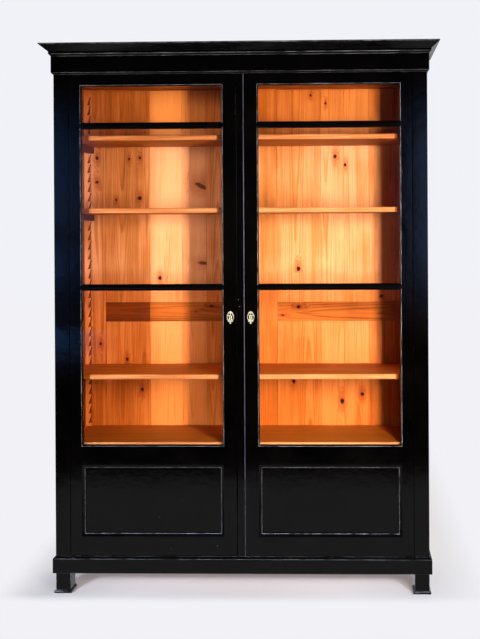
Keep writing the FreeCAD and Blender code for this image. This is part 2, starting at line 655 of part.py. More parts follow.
def keyhole(name, x, y):
    """A round hole with a slot below it, cut from front to back."""
    hole = doc.addObject("Part::Cylinder", name + "_round")
    hole.Placement.Rotation = FreeCAD.Rotation(FreeCAD.Vector(1, 0, 0), -90)
    hole.setExpression("Radius", "dim.keyhole_radius")
    hole.setExpression("Height", f"({y[1]}) - ({y[0]})")
    for axis, place in (("x", x), ("y", y[0]), ("z", "dim.lock_height")):
        hole.setExpression(f"Placement.Base.{axis}", place)
    slot = block(name + "_slot", (f"{x} - dim.keyhole_slot_width / 2",
                                  f"{x} + dim.keyhole_slot_width / 2"), y,
                 ("dim.lock_height - dim.keyhole_slot_length", "dim.lock_height"))
    return join(name, [hole, slot])


def lock_hollows():
    """What the lock needs in the right door's meeting stile."""
    return [block("lock_recess", lock_x, (lock_y[0], door_back), lock_z),
            keyhole("lock_keyhole", "dim.key_reach", (front, lock_y[0]))]


def keeper_hollows():
    """The keeper mortise and the bored channels for the bolts in the left door's stile."""
    edge = f"(-({meeting_edge['left']}))"
    room = "dim.keeper_clearance"
    mortise = block("keeper_mortise", (f"{edge} - dim.keeper_depth", edge),
                    shrunk(bolt_y, f"(-{room})"), shrunk(bolt_z, f"(-{room})"))
    return [mortise] + [piece for end in BOLT_ENDS for piece in bolt_hollows(end, edge)]


def escutcheon(name, x):
    """A pierced plate with a pointed oval outline, pinned over the keyhole."""
    plate = design(name + "_plate", x=x, y=front, z="dim.lock_height")
    across, up = "dim.escutcheon_width / 2", "dim.escutcheon_height / 2"
    # Shares of the half width and half height, going up the right-hand side.
    right_side = ((0.0, -1.0), (0.22, -0.86), (0.3, -0.66), (0.72, -0.5), (0.86, -0.26),
                  (1.0, 0.0), (0.9, 0.28), (0.74, 0.52), (0.36, 0.66), (0.24, 0.84), (0.0, 1.0))
    outline = list(right_side) + [(-share, level) for share, level in right_side[-2:0:-1]]
    pad(plate, sketch(plate, "XZ_Plane", name + "_outline",
                      [(f"{share} * {across}", f"{level} * {up}") for share, level in outline]),
        "dim.escutcheon_thickness")
    thickness = (f"{front} - dim.escutcheon_thickness", front)
    return cut(name + "_pierced", plate, [keyhole(name + "_keyhole", x, thickness)])


# ---------------------------------------------------------------- shoot bolts in the left door's edge

# For each end: the door's edge it shoots past, the direction it shoots in and its plate.
BOLT_ENDS = (("top", door_top, 1), ("bottom", door_bottom, -1))


def bolt_spans(edge, way):
    """Heights of the rod, its thumb piece and its plate, from the door's edge inwards."""
    def span(near, far):
        pair = (f"{edge} - {way} * ({far})", f"{edge} - {way} * ({near})")
        return pair if way > 0 else (pair[1], pair[0])
    tail = "(dim.rod_setback + dim.rod_length)"
    return {
        "rod": span("dim.rod_setback", tail),
        "bore": span("0", f"{tail} + dim.bore_clearance"),
        "thumb": span(f"{tail} - dim.thumb_length - dim.bolt_travel",
                      f"{tail} - dim.bolt_travel"),
        "slot": span(f"{tail} - dim.thumb_length - 2 * dim.bolt_travel - dim.bore_clearance",
                     f"{tail} - dim.bolt_travel + dim.bore_clearance"),
        "plate": span(f"{tail} - dim.bolt_plate_length + dim.bolt_travel",
                      f"{tail} + dim.bolt_travel"),
    }


def bolt_hollows(end, stile_edge):
    label, edge, way = end
    spans = bolt_spans(edge, way)
    return [rod(f"{label}_bolt_bore", bore_radius, rod_x, rod_y, spans["bore"]),
            block(f"{label}_bolt_slot", (rod_x, stile_edge),
                  (f"{rod_y} - dim.thumb_size / 2 - dim.bore_clearance",
                   f"{rod_y} + dim.thumb_size / 2 + dim.bore_clearance"), spans["slot"]),
            block(f"{label}_bolt_plate_seat", (f"{stile_edge} - dim.bolt_plate_thickness",
                                               stile_edge),
                  (f"{rod_y} - dim.bolt_plate_width / 2",
                   f"{rod_y} + dim.bolt_plate_width / 2"), spans["plate"])]


for side, sign in SIDES:
    door(side, sign)

soft = "dim.astragal_chamfer"
rim = "dim.astragal_width / 2"
astragal_front = f"({front} - dim.astragal_depth)"
astragal = design("astragal", z=door_bottom)
pad(astragal, sketch(astragal, "XY_Plane", "astragal_profile", [
    (f"-{rim}", front), (f"-{rim}", f"{astragal_front} + {soft}"),
    (f"-{rim} + {soft}", astragal_front), (f"{rim} - {soft}", astragal_front),
    (rim, f"{astragal_front} + {soft}"), (rim, front)]), f"{door_top} - {door_bottom}")
node(astragal, "astragal")

room = "(-dim.slide_clearance)"
node(cut("lock_case", block("lock_case_blank", lock_x, lock_y, lock_z),
         [block("lock_bolt_way", (lock_x[0], f"({bolt_x[1]}) + dim.slide_clearance"),
                shrunk(bolt_y, room), shrunk(bolt_z, room)),
          keyhole("lock_case_keyhole", "dim.key_reach", (lock_y[0], f"({bolt_y[0]})"))]),
     "lock_case")
node(block("lock_bolt", bolt_x, bolt_y, bolt_z), "lock_bolt")

left_edge = f"(-({meeting_edge['left']}))"
bolt_plates = []
for label, edge, way in BOLT_ENDS:
    spans = bolt_spans(edge, way)
    plate_x = (f"{left_edge} - dim.bolt_plate_thickness", left_edge)
    bolt_plates.append(cut(
        f"{label}_bolt_plate",
        block(f"{label}_bolt_plate_blank", plate_x,
              (f"{rod_y} - dim.bolt_plate_width / 2", f"{rod_y} + dim.bolt_plate_width / 2"),
              spans["plate"]),
        [block(f"{label}_bolt_plate_slot", plate_x,
               (f"{rod_y} - dim.thumb_size / 2 - dim.bore_clearance",
                f"{rod_y} + dim.thumb_size / 2 + dim.bore_clearance"), spans["slot"])]))
    node(join(f"{label}_bolt", [
        rod(f"{label}_bolt_rod", "dim.rod_radius", rod_x, rod_y, spans["rod"]),
        block(f"{label}_bolt_thumb", (rod_x, f"{left_edge} + dim.meeting_gap / 2"),
              (f"{rod_y} - dim.thumb_size / 2", f"{rod_y} + dim.thumb_size / 2"),
              spans["thumb"])]), f"{label}_bolt")
node(group("bolt_plates", bolt_plates), "bolt_plates")

# ---------------------------------------------------------------- build, test and write

doc.recompute()
failed = [item.Name for item in doc.Objects
          if "Invalid" in item.State or "Error" in item.State]
for piece in nodes:
    if piece.Shape.isNull() or not piece.Shape.isValid() or not piece.Shape.Solids:
        failed.append(piece.Label)
if failed:
    raise RuntimeError("failed objects: " + ", ".join(failed))

os.makedirs("parts", exist_ok=True)
for piece in nodes:
    piece.Shape.exportStep(os.path.join("parts", piece.Label + ".step"))
print(len(nodes), "sub-parts,", sum(len(piece.Shape.Solids) for piece in nodes), "solids")
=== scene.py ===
import json
import math
import random

import bmesh
import bpy
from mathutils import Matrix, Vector

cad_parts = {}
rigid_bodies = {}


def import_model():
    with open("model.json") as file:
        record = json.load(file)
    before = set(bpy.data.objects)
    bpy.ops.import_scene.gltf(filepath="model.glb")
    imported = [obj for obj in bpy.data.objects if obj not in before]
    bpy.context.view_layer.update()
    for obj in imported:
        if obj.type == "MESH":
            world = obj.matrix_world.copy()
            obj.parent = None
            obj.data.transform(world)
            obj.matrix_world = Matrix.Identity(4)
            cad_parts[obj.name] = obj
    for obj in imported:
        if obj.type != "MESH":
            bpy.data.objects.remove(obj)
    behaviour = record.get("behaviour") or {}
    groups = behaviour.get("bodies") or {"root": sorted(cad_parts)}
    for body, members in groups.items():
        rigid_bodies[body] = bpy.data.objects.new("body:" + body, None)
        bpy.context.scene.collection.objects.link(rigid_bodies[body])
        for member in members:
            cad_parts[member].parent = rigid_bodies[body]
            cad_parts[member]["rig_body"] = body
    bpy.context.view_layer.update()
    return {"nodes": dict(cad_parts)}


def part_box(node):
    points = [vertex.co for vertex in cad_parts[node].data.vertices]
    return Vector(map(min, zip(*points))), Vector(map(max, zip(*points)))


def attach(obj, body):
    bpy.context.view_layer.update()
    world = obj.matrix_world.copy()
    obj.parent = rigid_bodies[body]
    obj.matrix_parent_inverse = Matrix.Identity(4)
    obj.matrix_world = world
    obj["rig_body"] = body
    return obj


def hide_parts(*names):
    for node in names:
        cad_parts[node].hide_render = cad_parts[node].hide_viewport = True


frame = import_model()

# the case's height in metres
HEIGHT = 2.14


# ------------------------------------------------------------------ colours and nodes

def linear(text):
    """An sRGB hex colour as linear red, green and blue with a full alpha."""
    parts = [int(text[i:i + 2], 16) / 255 for i in (1, 3, 5)]
    return tuple(p / 12.92 if p <= 0.04045 else ((p + 0.055) / 1.055) ** 2.4 for p in parts) + (1.0,)


def add(tree, kind, inputs=None, stops=None, **settings):
    """Add a node with its settings; inputs maps a socket to a value or to another node's output."""
    node = tree.nodes.new("ShaderNode" + kind)
    for name, value in settings.items():
        setattr(node, name, value)
    for socket, value in (inputs or {}).items():
        if isinstance(value, bpy.types.NodeSocket):
            tree.links.new(value, node.inputs[socket])
        else:
            node.inputs[socket].default_value = value
    for i, (place, colour) in enumerate(stops or ()):
        stop = node.color_ramp.elements[i] if i < 2 else node.color_ramp.elements.new(place)
        stop.position = place
        stop.color = linear(colour)
    return node


def smooth(tree, value, start, end, first=1.0, last=0.0):
    """A smooth step's output: first up to start, and last from end onwards."""
    step = add(tree, "MapRange", {"Value": value, "From Min": start, "From Max": end, "To Min": first,
                                  "To Max": last}, interpolation_type="SMOOTHSTEP")
    return step.outputs["Result"]


def new_material(name):
    """An empty material and its node tree."""
    material = bpy.data.materials.new(name)
    material.use_nodes = True
    material.node_tree.nodes.clear()
    return material, material.node_tree


# ------------------------------------------------------------------ materials

def ebonised_wood():
    """Softwood stained black and french polished with shellac: a deep black with a thin, slightly uneven
    glossy film that shows soft broken reflections, smudges, and a few tiny chips down to the pale wood."""
    material, tree = new_material("ebonised_french_polish")
    place = add(tree, "TexCoord").outputs["Object"]
    cloud = add(tree, "TexNoise", {"Vector": place, "Scale": 7.0, "Detail": 4.0, "Roughness": 0.6})
    black = add(tree, "ValToRGB", {"Fac": cloud.outputs["Fac"]},
                stops=[(0.35, "#010101"), (0.7, "#040303")])
    # chips one to three millimetres across
    chips = add(tree, "TexVoronoi", {"Vector": place, "Scale": 22.0})
    near = add(tree, "MapRange", {"Value": chips.outputs["Distance"], "From Min": 0.012, "From Max": 0.034,
                                  "To Min": 1.0, "To Max": 0.0})
    pick = add(tree, "SeparateColor", {"Color": chips.outputs["Color"]})
    rare = add(tree, "Math", {0: pick.outputs["Red"], 1: 0.8}, operation="GREATER_THAN")
    chip = add(tree, "Math", {0: near.outputs["Result"], 1: rare.outputs[0]}, operation="MULTIPLY")
    colour = add(tree, "Mix", {0: chip.outputs[0], 6: black.outputs["Color"], 7: linear("#C4BCAE")},
                 data_type="RGBA")
    smudge = add(tree, "TexNoise", {"Vector": place, "Scale": 14.0, "Detail": 6.0, "Roughness": 0.65})
    gloss = add(tree, "MapRange", {"Value": smudge.outputs["Fac"], "From Min": 0.3, "From Max": 0.75,
                                   "To Min": 0.05, "To Max": 0.12})
    # the brushed-on film is wavy over a few centimetres
    wave = add(tree, "TexNoise", {"Vector": place, "Scale": 26.0, "Detail": 3.0, "Roughness": 0.55})
    bump = add(tree, "Bump", {"Strength": 0.35, "Distance": 0.0012, "Height": wave.outputs["Fac"]})
    shader = add(tree, "BsdfPrincipled", {
        "Base Color": colour.outputs[2], "Roughness": gloss.outputs["Result"], "Specular IOR Level": 0.25,
        "Normal": bump.outputs["Normal"]})
    add(tree, "OutputMaterial", {"Surface": shader.outputs[0]})
    return material


def edge_wear_and_highlight(name, polish, bare, scale=30.0, detail=5.0, patches=(0.38, 0.66), dull=0.3):
    """Black polish with pale grey patches. On the corners of the case they are polish rubbed thin by hands
    and dusters together with a painted highlight; on narrow edges they show as fine broken lines of
    painted highlight: the outer lips of the glazing beads and panel rings and the edge of the cover strip."""
    material, tree = new_material(name)
    place = add(tree, "TexCoord").outputs["Object"]
    patch = add(tree, "TexNoise", {"Vector": place, "Scale": scale, "Detail": detail, "Roughness": 0.7})
    colour = add(tree, "ValToRGB", {"Fac": patch.outputs["Fac"]},
                 stops=[(patches[0], polish), (patches[1], bare)])
    shader = add(tree, "BsdfPrincipled", {"Base Color": colour.outputs["Color"], "Roughness": dull})
    add(tree, "OutputMaterial", {"Surface": shader.outputs[0]})
    return material


# painted shade by height on the back, deep orange above and below the middle: (height in metres, tint)
HEIGHT_SHADE = ((0.70, "#F1C88B"), (0.95, "#F6D7B0"), (1.15, "#F8DCBE"), (1.24, "#FFFFFF"), (1.76, "#FFFFFF"),
        (1.86, "#FFDA9C"))
# how wide one year's ring is, in metres
RING = 0.0045


def shellacked_pine(name, light, middle, dark, shine, dull, shaded_by_height=False):
    """Planed pine: yearly rings cut into arches and stripes, soft streaks, dark knots, and an orange
    shellac film that has darkened unevenly. The grain attribute holds each board's place in its log, and
    tone makes a board darker. The three colours go from early wood to late wood; shine is the film's
    specular level and dull its lowest roughness; shaded by height, it takes the painted shade of the table
    above."""
    material, tree = new_material(name)
    grain = add(tree, "Attribute", attribute_name="grain").outputs["Vector"]
    tone = add(tree, "Attribute", attribute_name="tone").outputs["Fac"]
    knot = add(tree, "Attribute", attribute_name="knot").outputs["Vector"]
    place = add(tree, "TexCoord").outputs["Object"]
    # the knot attribute is the way from the board's nearest knot in knot radii, and its z says how
    # strongly the knot shows, 0 being not at all
    ragged = add(tree, "TexNoise", {"Vector": place, "Scale": 90.0})
    spot = add(tree, "SeparateXYZ", {"Vector": knot})
    flat = add(tree, "CombineXYZ", {"X": spot.outputs["X"], "Y": spot.outputs["Y"]})
    reach = add(tree, "VectorMath", {0: flat.outputs[0]}, operation="LENGTH")
    reach = add(tree, "Math", {0: ragged.outputs["Fac"], 1: 0.9, 2: reach.outputs["Value"]},
                operation="MULTIPLY_ADD")
    core = smooth(tree, reach.outputs[0], 1.05, 1.5)
    core = add(tree, "Math", {0: core, 1: spot.outputs["Z"]}, operation="MULTIPLY")
    # the grain closes round a knot in a long darker eye
    long = add(tree, "VectorMath", {0: flat.outputs[0], 1: (0.8, 0.34, 1.0)}, operation="MULTIPLY")
    eye = add(tree, "VectorMath", {0: long.outputs[0]}, operation="LENGTH")
    eye = add(tree, "Math", {0: ragged.outputs["Fac"], 1: 1.2, 2: eye.outputs["Value"]},
              operation="MULTIPLY_ADD")
    halo = smooth(tree, eye.outputs[0], 0.9, 2.8)
    halo = add(tree, "Math", {0: halo, 1: spot.outputs["Z"]}, operation="MULTIPLY")
    # rings: the distance from the heart of the log, pushed aside by knots
    slow = add(tree, "Mapping", {"Vector": grain, "Scale": (9.0, 9.0, 1.3)})
    sway = add(tree, "TexNoise", {"Vector": slow.outputs[0], "Scale": 1.0, "Detail": 3.0})
    log = add(tree, "SeparateXYZ", {"Vector": grain})
    disc = add(tree, "CombineXYZ", {"X": log.outputs["X"], "Y": log.outputs["Y"]})
    radius = add(tree, "VectorMath", {0: disc.outputs[0]}, operation="LENGTH")
    radius = add(tree, "Math", {0: sway.outputs["Fac"], 1: 0.016, 2: radius.outputs["Value"]},
                 operation="MULTIPLY_ADD")
    radius = add(tree, "Math", {0: halo.outputs[0], 1: 0.012, 2: radius.outputs[0]},
                 operation="MULTIPLY_ADD")
    count = add(tree, "Math", {0: radius.outputs[0], 1: 1 / RING}, operation="MULTIPLY")
    year = add(tree, "Math", {0: count.outputs[0]}, operation="FRACT")
    ring = add(tree, "ValToRGB", {"Fac": year.outputs[0]},
               stops=[(0.0, "#000000"), (1.0, "#202020"), (0.5, "#282828"), (0.86, "#FFFFFF"),
                      (0.93, "#FFFFFF")])
    wide = add(tree, "Mapping", {"Vector": grain, "Scale": (26.0, 26.0, 1.6)})
    band = add(tree, "TexNoise", {"Vector": wide.outputs[0], "Scale": 1.0})
    fine = add(tree, "Mapping", {"Vector": grain, "Scale": (95.0, 95.0, 3.0)})
    streak = add(tree, "TexNoise", {"Vector": fine.outputs[0], "Scale": 1.0, "Detail": 5.0,
                                    "Roughness": 0.6})
    fibre = add(tree, "Mapping", {"Vector": grain, "Scale": (620.0, 620.0, 16.0)})
    hair = add(tree, "TexNoise", {"Vector": fibre.outputs[0], "Scale": 1.0})
    film = add(tree, "TexNoise", {"Vector": place, "Scale": 5.0, "Detail": 3.0})
    mix = add(tree, "Math", {0: ring.outputs["Color"], 1: 0.2, 2: tone}, operation="MULTIPLY_ADD")
    for layer, share in ((streak, 0.5), (band, 0.6), (hair, 0.14), (film, 0.5)):
        mix = add(tree, "Math", {0: layer.outputs["Fac"], 1: share, 2: mix.outputs[0]},
                  operation="MULTIPLY_ADD")
    # bring the sum of the layers back to the middle of the colours
    mix = add(tree, "Math", {0: mix.outputs[0], 1: 0.46}, operation="SUBTRACT")
    wood = add(tree, "ValToRGB", {"Fac": mix.outputs[0]},
               stops=[(0.12, light), (0.9, dark), (0.48, middle)])
    tinted = wood.outputs["Color"]
    if shaded_by_height:
        # painted shade: the colour stays as it is across the middle and is darkened to deep orange above
        # and below
        height = add(tree, "SeparateXYZ", {"Vector": place})
        level = add(tree, "MapRange", {"Value": height.outputs["Z"], "From Max": HEIGHT})
        deep = add(tree, "ValToRGB", {"Fac": level.outputs["Result"]},
                   stops=[(z / HEIGHT, tint) for z, tint in HEIGHT_SHADE])
        tinted = add(tree, "Mix", {0: 1.0, 6: tinted, 7: deep.outputs["Color"]},
                     data_type="RGBA", blend_type="MULTIPLY").outputs[2]
    eye_share = add(tree, "Math", {0: halo.outputs[0], 1: 0.6}, operation="MULTIPLY")
    stained = add(tree, "Mix", {0: eye_share.outputs[0], 6: tinted, 7: linear("#C8742E")},
                  data_type="RGBA", blend_type="MULTIPLY")
    colour = add(tree, "Mix", {0: core.outputs[0], 6: stained.outputs[2], 7: linear("#2A120A")},
                 data_type="RGBA")
    gloss = add(tree, "MapRange", {"Value": streak.outputs["Fac"], "To Min": dull, "To Max": dull + 0.14})
    relief = add(tree, "Math", {0: ring.outputs["Color"], 1: 0.6, 2: hair.outputs["Fac"]},
                 operation="MULTIPLY_ADD")
    bump = add(tree, "Bump", {"Strength": 0.4, "Distance": 0.0004, "Height": relief.outputs[0]})
    shader = add(tree, "BsdfPrincipled", {
        "Base Color": colour.outputs[2], "Roughness": gloss.outputs["Result"],
        "Specular IOR Level": shine, "Normal": bump.outputs["Normal"]})
    add(tree, "OutputMaterial", {"Surface": shader.outputs[0]})
    return material


def old_window_glass():
    """Drawn window glass: clear and faintly wavy, so that reflections bend a little. It lets the lamps
    through."""
    material, tree = new_material("drawn_window_glass")
    place = add(tree, "TexCoord").outputs["Object"]
    wave = add(tree, "TexNoise", {"Vector": place, "Scale": 5.0})
    bump = add(tree, "Bump", {"Strength": 0.2, "Distance": 0.001, "Height": wave.outputs["Fac"]})
    glass = add(tree, "BsdfPrincipled", {
        "Base Color": linear("#FBFDFB"), "Roughness": 0.0, "Transmission Weight": 1.0,
        "Normal": bump.outputs["Normal"]})
    clear = add(tree, "BsdfTransparent", {"Color": linear("#F6FAF6")})
    path = add(tree, "LightPath")
    shader = glass
    for ray in ("Is Diffuse Ray", "Is Shadow Ray"):
        shader = add(tree, "MixShader", {0: path.outputs[ray], 1: shader.outputs[0], 2: clear.outputs[0]})
    add(tree, "OutputMaterial", {"Surface": shader.outputs[0]})
    return material


def polished_brass():
    """Cast brass, polished long ago: pale yellow metal with brown age stains in it."""
    material, tree = new_material("polished_cast_brass")
    place = add(tree, "TexCoord").outputs["Object"]
    stain = add(tree, "TexNoise", {"Vector": place, "Scale": 240.0, "Detail": 4.0})
    colour = add(tree, "ValToRGB", {"Fac": stain.outputs["Fac"]},
                 stops=[(0.3, "#787450"), (0.6, "#F2F2DE")])
    gloss = add(tree, "MapRange", {"Value": stain.outputs["Fac"], "To Min": 0.42, "To Max": 0.26})
    shader = add(tree, "BsdfPrincipled", {
        "Base Color": colour.outputs["Color"], "Metallic": 0.55, "Roughness": gloss.outputs["Result"]})
    add(tree, "OutputMaterial", {"Surface": shader.outputs[0]})
    return material


def forged_steel(name, clean, aged):
    """Filed iron and steel of the bolts, plates and lock: dark metal with brown age in it."""
    material, tree = new_material(name)
    place = add(tree, "TexCoord").outputs["Object"]
    file_marks = add(tree, "Mapping", {"Vector": place, "Scale": (900.0, 900.0, 30.0)})
    marks = add(tree, "TexNoise", {"Vector": file_marks.outputs[0], "Scale": 1.0, "Detail": 3.0})
    age = add(tree, "TexNoise", {"Vector": place, "Scale": 60.0, "Detail": 5.0})
    colour = add(tree, "ValToRGB", {"Fac": age.outputs["Fac"]},
                 stops=[(0.4, clean), (0.68, aged)])
    gloss = add(tree, "MapRange", {"Value": marks.outputs["Fac"], "To Min": 0.3, "To Max": 0.5})
    bump = add(tree, "Bump", {"Strength": 0.3, "Distance": 0.0002, "Height": marks.outputs["Fac"]})
    shader = add(tree, "BsdfPrincipled", {
        "Base Color": colour.outputs["Color"], "Metallic": 1.0, "Roughness": gloss.outputs["Result"],
        "Normal": bump.outputs["Normal"]})
    add(tree, "OutputMaterial", {"Surface": shader.outputs[0]})
    return material


def stained_edge():
    """Black stain alone, without polish, on edges that meet in the gaps of the doors: dull and dry."""
    material, tree = new_material("black_stained_edge")
    place = add(tree, "TexCoord").outputs["Object"]
    fibre = add(tree, "TexNoise", {"Vector": place, "Scale": 120.0, "Detail": 4.0})
    colour = add(tree, "ValToRGB", {"Fac": fibre.outputs["Fac"]},
                 stops=[(0.35, "#020202"), (0.7, "#0A0807")])
    shader = add(tree, "BsdfPrincipled", {
        "Base Color": colour.outputs["Color"], "Roughness": 0.85, "Specular IOR Level": 0.05})
    add(tree, "OutputMaterial", {"Surface": shader.outputs[0]})
    return material


black = ebonised_wood()
dull_black = stained_edge()
# the arris finish is rubbed wear with a painted highlight; lip, panel_lip and strip_edge are painted
# highlights
arris = edge_wear_and_highlight("black_arris_wear_and_painted_highlight", "#1A1A1C", "#848990", 18.0, 6.0, (0.4, 0.62), 0.32)
# the pale grey of the bead lips and the panel-ring lips is a painted highlight
lip = edge_wear_and_highlight("grey_lip_painted_highlight", "#181A22", "#8E94A2")
panel_lip = edge_wear_and_highlight("panel_lip_painted_highlight", "#1D1D1D", "#5A5A56")
strip_edge = edge_wear_and_highlight("strip_edge_painted_highlight", "#2A2939", "#4E4D64")
# the orange pine carries the painted shade by height
orange_pine = shellacked_pine("shellacked_pine", "#EEA478", "#C8763E", "#7C401C", 0.15, 0.42, shaded_by_height=True)
# a darker copy of the pine for inner faces in shade: painted shade
shaded_pine = shellacked_pine("shellacked_pine_painted_shade", "#A65818", "#8C4412", "#602A08", 0.15, 0.42)
edge_pine = shellacked_pine("shellacked_pine_edges", "#DC9262", "#BE6836", "#8A421E", 0.6, 0.34)
# a darker copy of the pine for the flat tops and undersides of shelves and boards: painted shade
shaded_top_pine = shellacked_pine("shellacked_pine_flats_painted_shade", "#BB641C", "#9E4D16", "#6D310A", 0.15, 0.42)
# a dark copy of the pine for the shelf edge ends and the middle rail's left end: painted shade
dark_shade_pine = shellacked_pine("shellacked_pine_painted_dark_shade", "#A0501E", "#84360E", "#541E08", 0.15, 0.42)
bare_pine = shellacked_pine("bare_aged_pine", "#C49A6A", "#A97C4C", "#7C5430", 0.3, 0.6)
glass = old_window_glass()
brass = polished_brass()
steel = forged_steel("filed_oiled_steel", "#8A8880", "#5A4A3C")
# a near-black copy of the pine for the cleats under the shelves: painted shade
shaded_cleat_pine = shellacked_pine("shellacked_pine_cleats_painted_shade", "#5E2A0C", "#3E1804", "#240C02", 0.1, 0.5)
# a dark copy of the pine for the teeth's slopes and the strip behind them: painted shade
notch_shade_pine = shellacked_pine("shellacked_pine_painted_notch_shade", "#8E4A1C", "#6C3410", "#401C08", 0.1, 0.5)
iron = forged_steel("blackened_iron", "#1C1A18", "#2C221A")


# ------------------------------------------------------------------ ways of working

def let_go():
    """Deselect every object."""
    for thing in list(bpy.context.selected_objects):
        thing.select_set(False)


def take_up(piece):
    """Make one piece the only selected object, and the active one."""
    let_go()
    piece.select_set(True)
    bpy.context.view_layer.objects.active = piece


def from_node(node, name, *materials):
    """Start a piece from a node's own shape, its loose triangles joined into whole flat faces."""
    piece = bpy.data.objects.new(name, frame["nodes"][node].data.copy())
    bpy.context.scene.collection.objects.link(piece)
    piece.data.materials.clear()
    for material in materials:
        piece.data.materials.append(material)
    take_up(piece)
    bpy.ops.object.mode_set(mode="EDIT")
    bpy.ops.mesh.select_all(action="SELECT")
    bpy.ops.mesh.remove_doubles(threshold=1e-5)
    bpy.ops.mesh.dissolve_limited(angle_limit=math.radians(0.5))
    bpy.ops.object.mode_set(mode="OBJECT")
    bpy.ops.mesh.customdata_custom_splitnormals_clear()
    return piece


# edges that turn less than this aren't corners
CORNER = math.radians(20)


def ease(piece, width, spare=None, segments=2, slot=1):
    """Round the outward corners, but not the edges that spare(middle) names, such as flush joints. The
    new faces get the material of the given slot."""
    take_up(piece)
    bpy.ops.object.mode_set(mode="EDIT")
    bpy.ops.mesh.select_mode(type="EDGE")
    bpy.ops.mesh.select_all(action="DESELECT")
    shape = bmesh.from_edit_mesh(piece.data)
    for edge in shape.edges:
        if len(edge.link_faces) != 2 or not edge.is_convex or edge.calc_face_angle() < CORNER:
            continue
        middle = (edge.verts[0].co + edge.verts[1].co) / 2
        if spare is None or not spare(middle):
            edge.select_set(True)
    bmesh.update_edit_mesh(piece.data)
    bpy.ops.mesh.bevel(offset=width, segments=segments, affect="EDGES", clamp_overlap=True, material=slot)
    bpy.ops.object.mode_set(mode="OBJECT")


def refinish(piece, slot, where):
    """Give the faces that where(face) picks the material of another slot."""
    for face in piece.data.polygons:
        if where(face):
            face.material_index = slot


def cut_at(piece, places, along=0):
    """Cut a piece's faces across at the given places of one axis, so that each part has its own finish."""
    take_up(piece)
    bpy.ops.object.mode_set(mode="EDIT")
    for place in places:
        bpy.ops.mesh.select_all(action="SELECT")
        bpy.ops.mesh.bisect(plane_co=(place, 0, place), plane_no=(along == 0, 0, along == 2))
    bpy.ops.object.mode_set(mode="OBJECT")


def joined(pieces, name):
    """Make one piece of several, under a new name."""
    take_up(pieces[0])
    for piece in pieces:
        piece.select_set(True)
    bpy.ops.object.join()
    pieces[0].name = name
    return pieces[0]


def parts_of(mesh):
    """The mesh's separate sticks and boards, each a list of its points' numbers."""
    first = list(range(len(mesh.vertices)))

    def top(i):
        while first[i] != i:
            first[i] = first[first[i]]
            i = first[i]
        return i

    for edge in mesh.edges:
        first[top(edge.vertices[0])] = top(edge.vertices[1])
    groups = {}
    for i in range(len(first)):
        groups.setdefault(top(i), []).append(i)
    return sorted(groups.values(), key=lambda group: min(tuple(mesh.vertices[i].co) for i in group))


def lay_grain(piece, seed, tone=0.0, spread=0.06, heart=(0.03, 0.08)):
    """Give every board of a piece its own place in a log: across, out from the heart, and along. The
    tone is the boards' mean shade, spread how far they differ, and heart how far out they were sawn."""
    mesh = piece.data
    places = [(0.0, 0.0, 0.0)] * len(mesh.vertices)
    shades = [0.0] * len(mesh.vertices)
    for number, group in enumerate(parts_of(mesh)):
        dice = random.Random(seed * 100 + number)
        spots = [mesh.vertices[i].co for i in group]
        low = [min(s[k] for s in spots) for k in range(3)]
        high = [max(s[k] for s in spots) for k in range(3)]
        depth, across, along = sorted(range(3), key=lambda k: high[k] - low[k])
        aside = dice.uniform(-0.35, 0.35) * (high[across] - low[across])
        out = dice.uniform(*heart)
        tilt = dice.uniform(-0.02, 0.02)
        lean = dice.uniform(-0.01, 0.01)
        start = dice.uniform(0, 40)
        shade = tone + dice.uniform(-spread, spread)
        for i in group:
            at = mesh.vertices[i].co
            run = at[along] - (low[along] + high[along]) / 2
            places[i] = (at[across] - (low[across] + high[across]) / 2 + aside + lean * run,
                         at[depth] - low[depth] + out + tilt * run,
                         run + start)
            shades[i] = shade
    for name, kind, values in (("grain", "FLOAT_VECTOR", places), ("tone", "FLOAT", shades)):
        store = mesh.attributes.new(name, kind, "POINT")
        field = "vector" if kind == "FLOAT_VECTOR" else "value"
        flat = [n for v in values for n in v] if kind == "FLOAT_VECTOR" else values
        store.data.foreach_set(field, flat)


# corners that turn less than this are shaded round
ROUND = math.radians(46)


def hand_over(piece, slot, *nodes):
    """Smooth the rounded corners, keep the flats flat, and put the piece in the place of its nodes."""
    take_up(piece)
    bpy.ops.object.shade_smooth_by_angle(angle=ROUND)
    flats = piece.modifiers.new("flats", "WEIGHTED_NORMAL")
    flats.keep_sharp = True
    bpy.ops.object.modifier_apply(modifier=flats.name)
    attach(piece, frame["nodes"][nodes[0]]["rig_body"])
    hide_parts(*nodes)
    return piece


# where the gap between the doors and the gaps beside the hinge stiles lie across the front
MEETING_GAP = (-0.0185, -0.0155)
HINGE_GAPS = (0.667, 0.671)


def in_gap(face):
    """True on faces that look sideways into one of the doors' gaps."""
    x = face.center.x
    return abs(face.normal.x) > 0.99 and (MEETING_GAP[0] < x < MEETING_GAP[1]
                                          or HINGE_GAPS[0] < abs(x) < HINGE_GAPS[1])


def black_piece(node, width=0.0012, spare=None, worn_and_lit=0):
    """A polished piece; the worn setting gives its corners rubbed wear with a painted highlight. Edges
    that meet in the door gaps stay dull.
    """
    piece = from_node(node, node + "_polished", black, arris, dull_black)
    ease(piece, width, spare, slot=worn_and_lit)
    if "stile" in node or "post" in node:
        refinish(piece, 2, in_gap)
    return hand_over(piece, "ebonised_wood", node)


def pine_piece(node, seed, width=0.001, tone=0.0, wood=orange_pine, tops=None):
    """A planed piece of one wood. Where tops names a darker wood, painted shade, for its flat tops and
    undersides, its front edge is pale.
    """
    piece = from_node(node, node + "_planed", wood, edge_pine if tops else wood, tops or wood)
    ease(piece, width)
    refinish(piece, 2, lambda face: abs(face.normal.z) > 0.99)
    refinish(piece, 1, lambda face: face.normal.y < -0.99)
    lay_grain(piece, seed, tone)
    return hand_over(piece, "shellacked_pine", node)


# faces whose middle lies farther aside from a knot than this don't show it
KNOT_REACH = 0.07
# a knot wider than this is a branch cut lengthwise, which is paler than a round one
BRANCH = 0.02


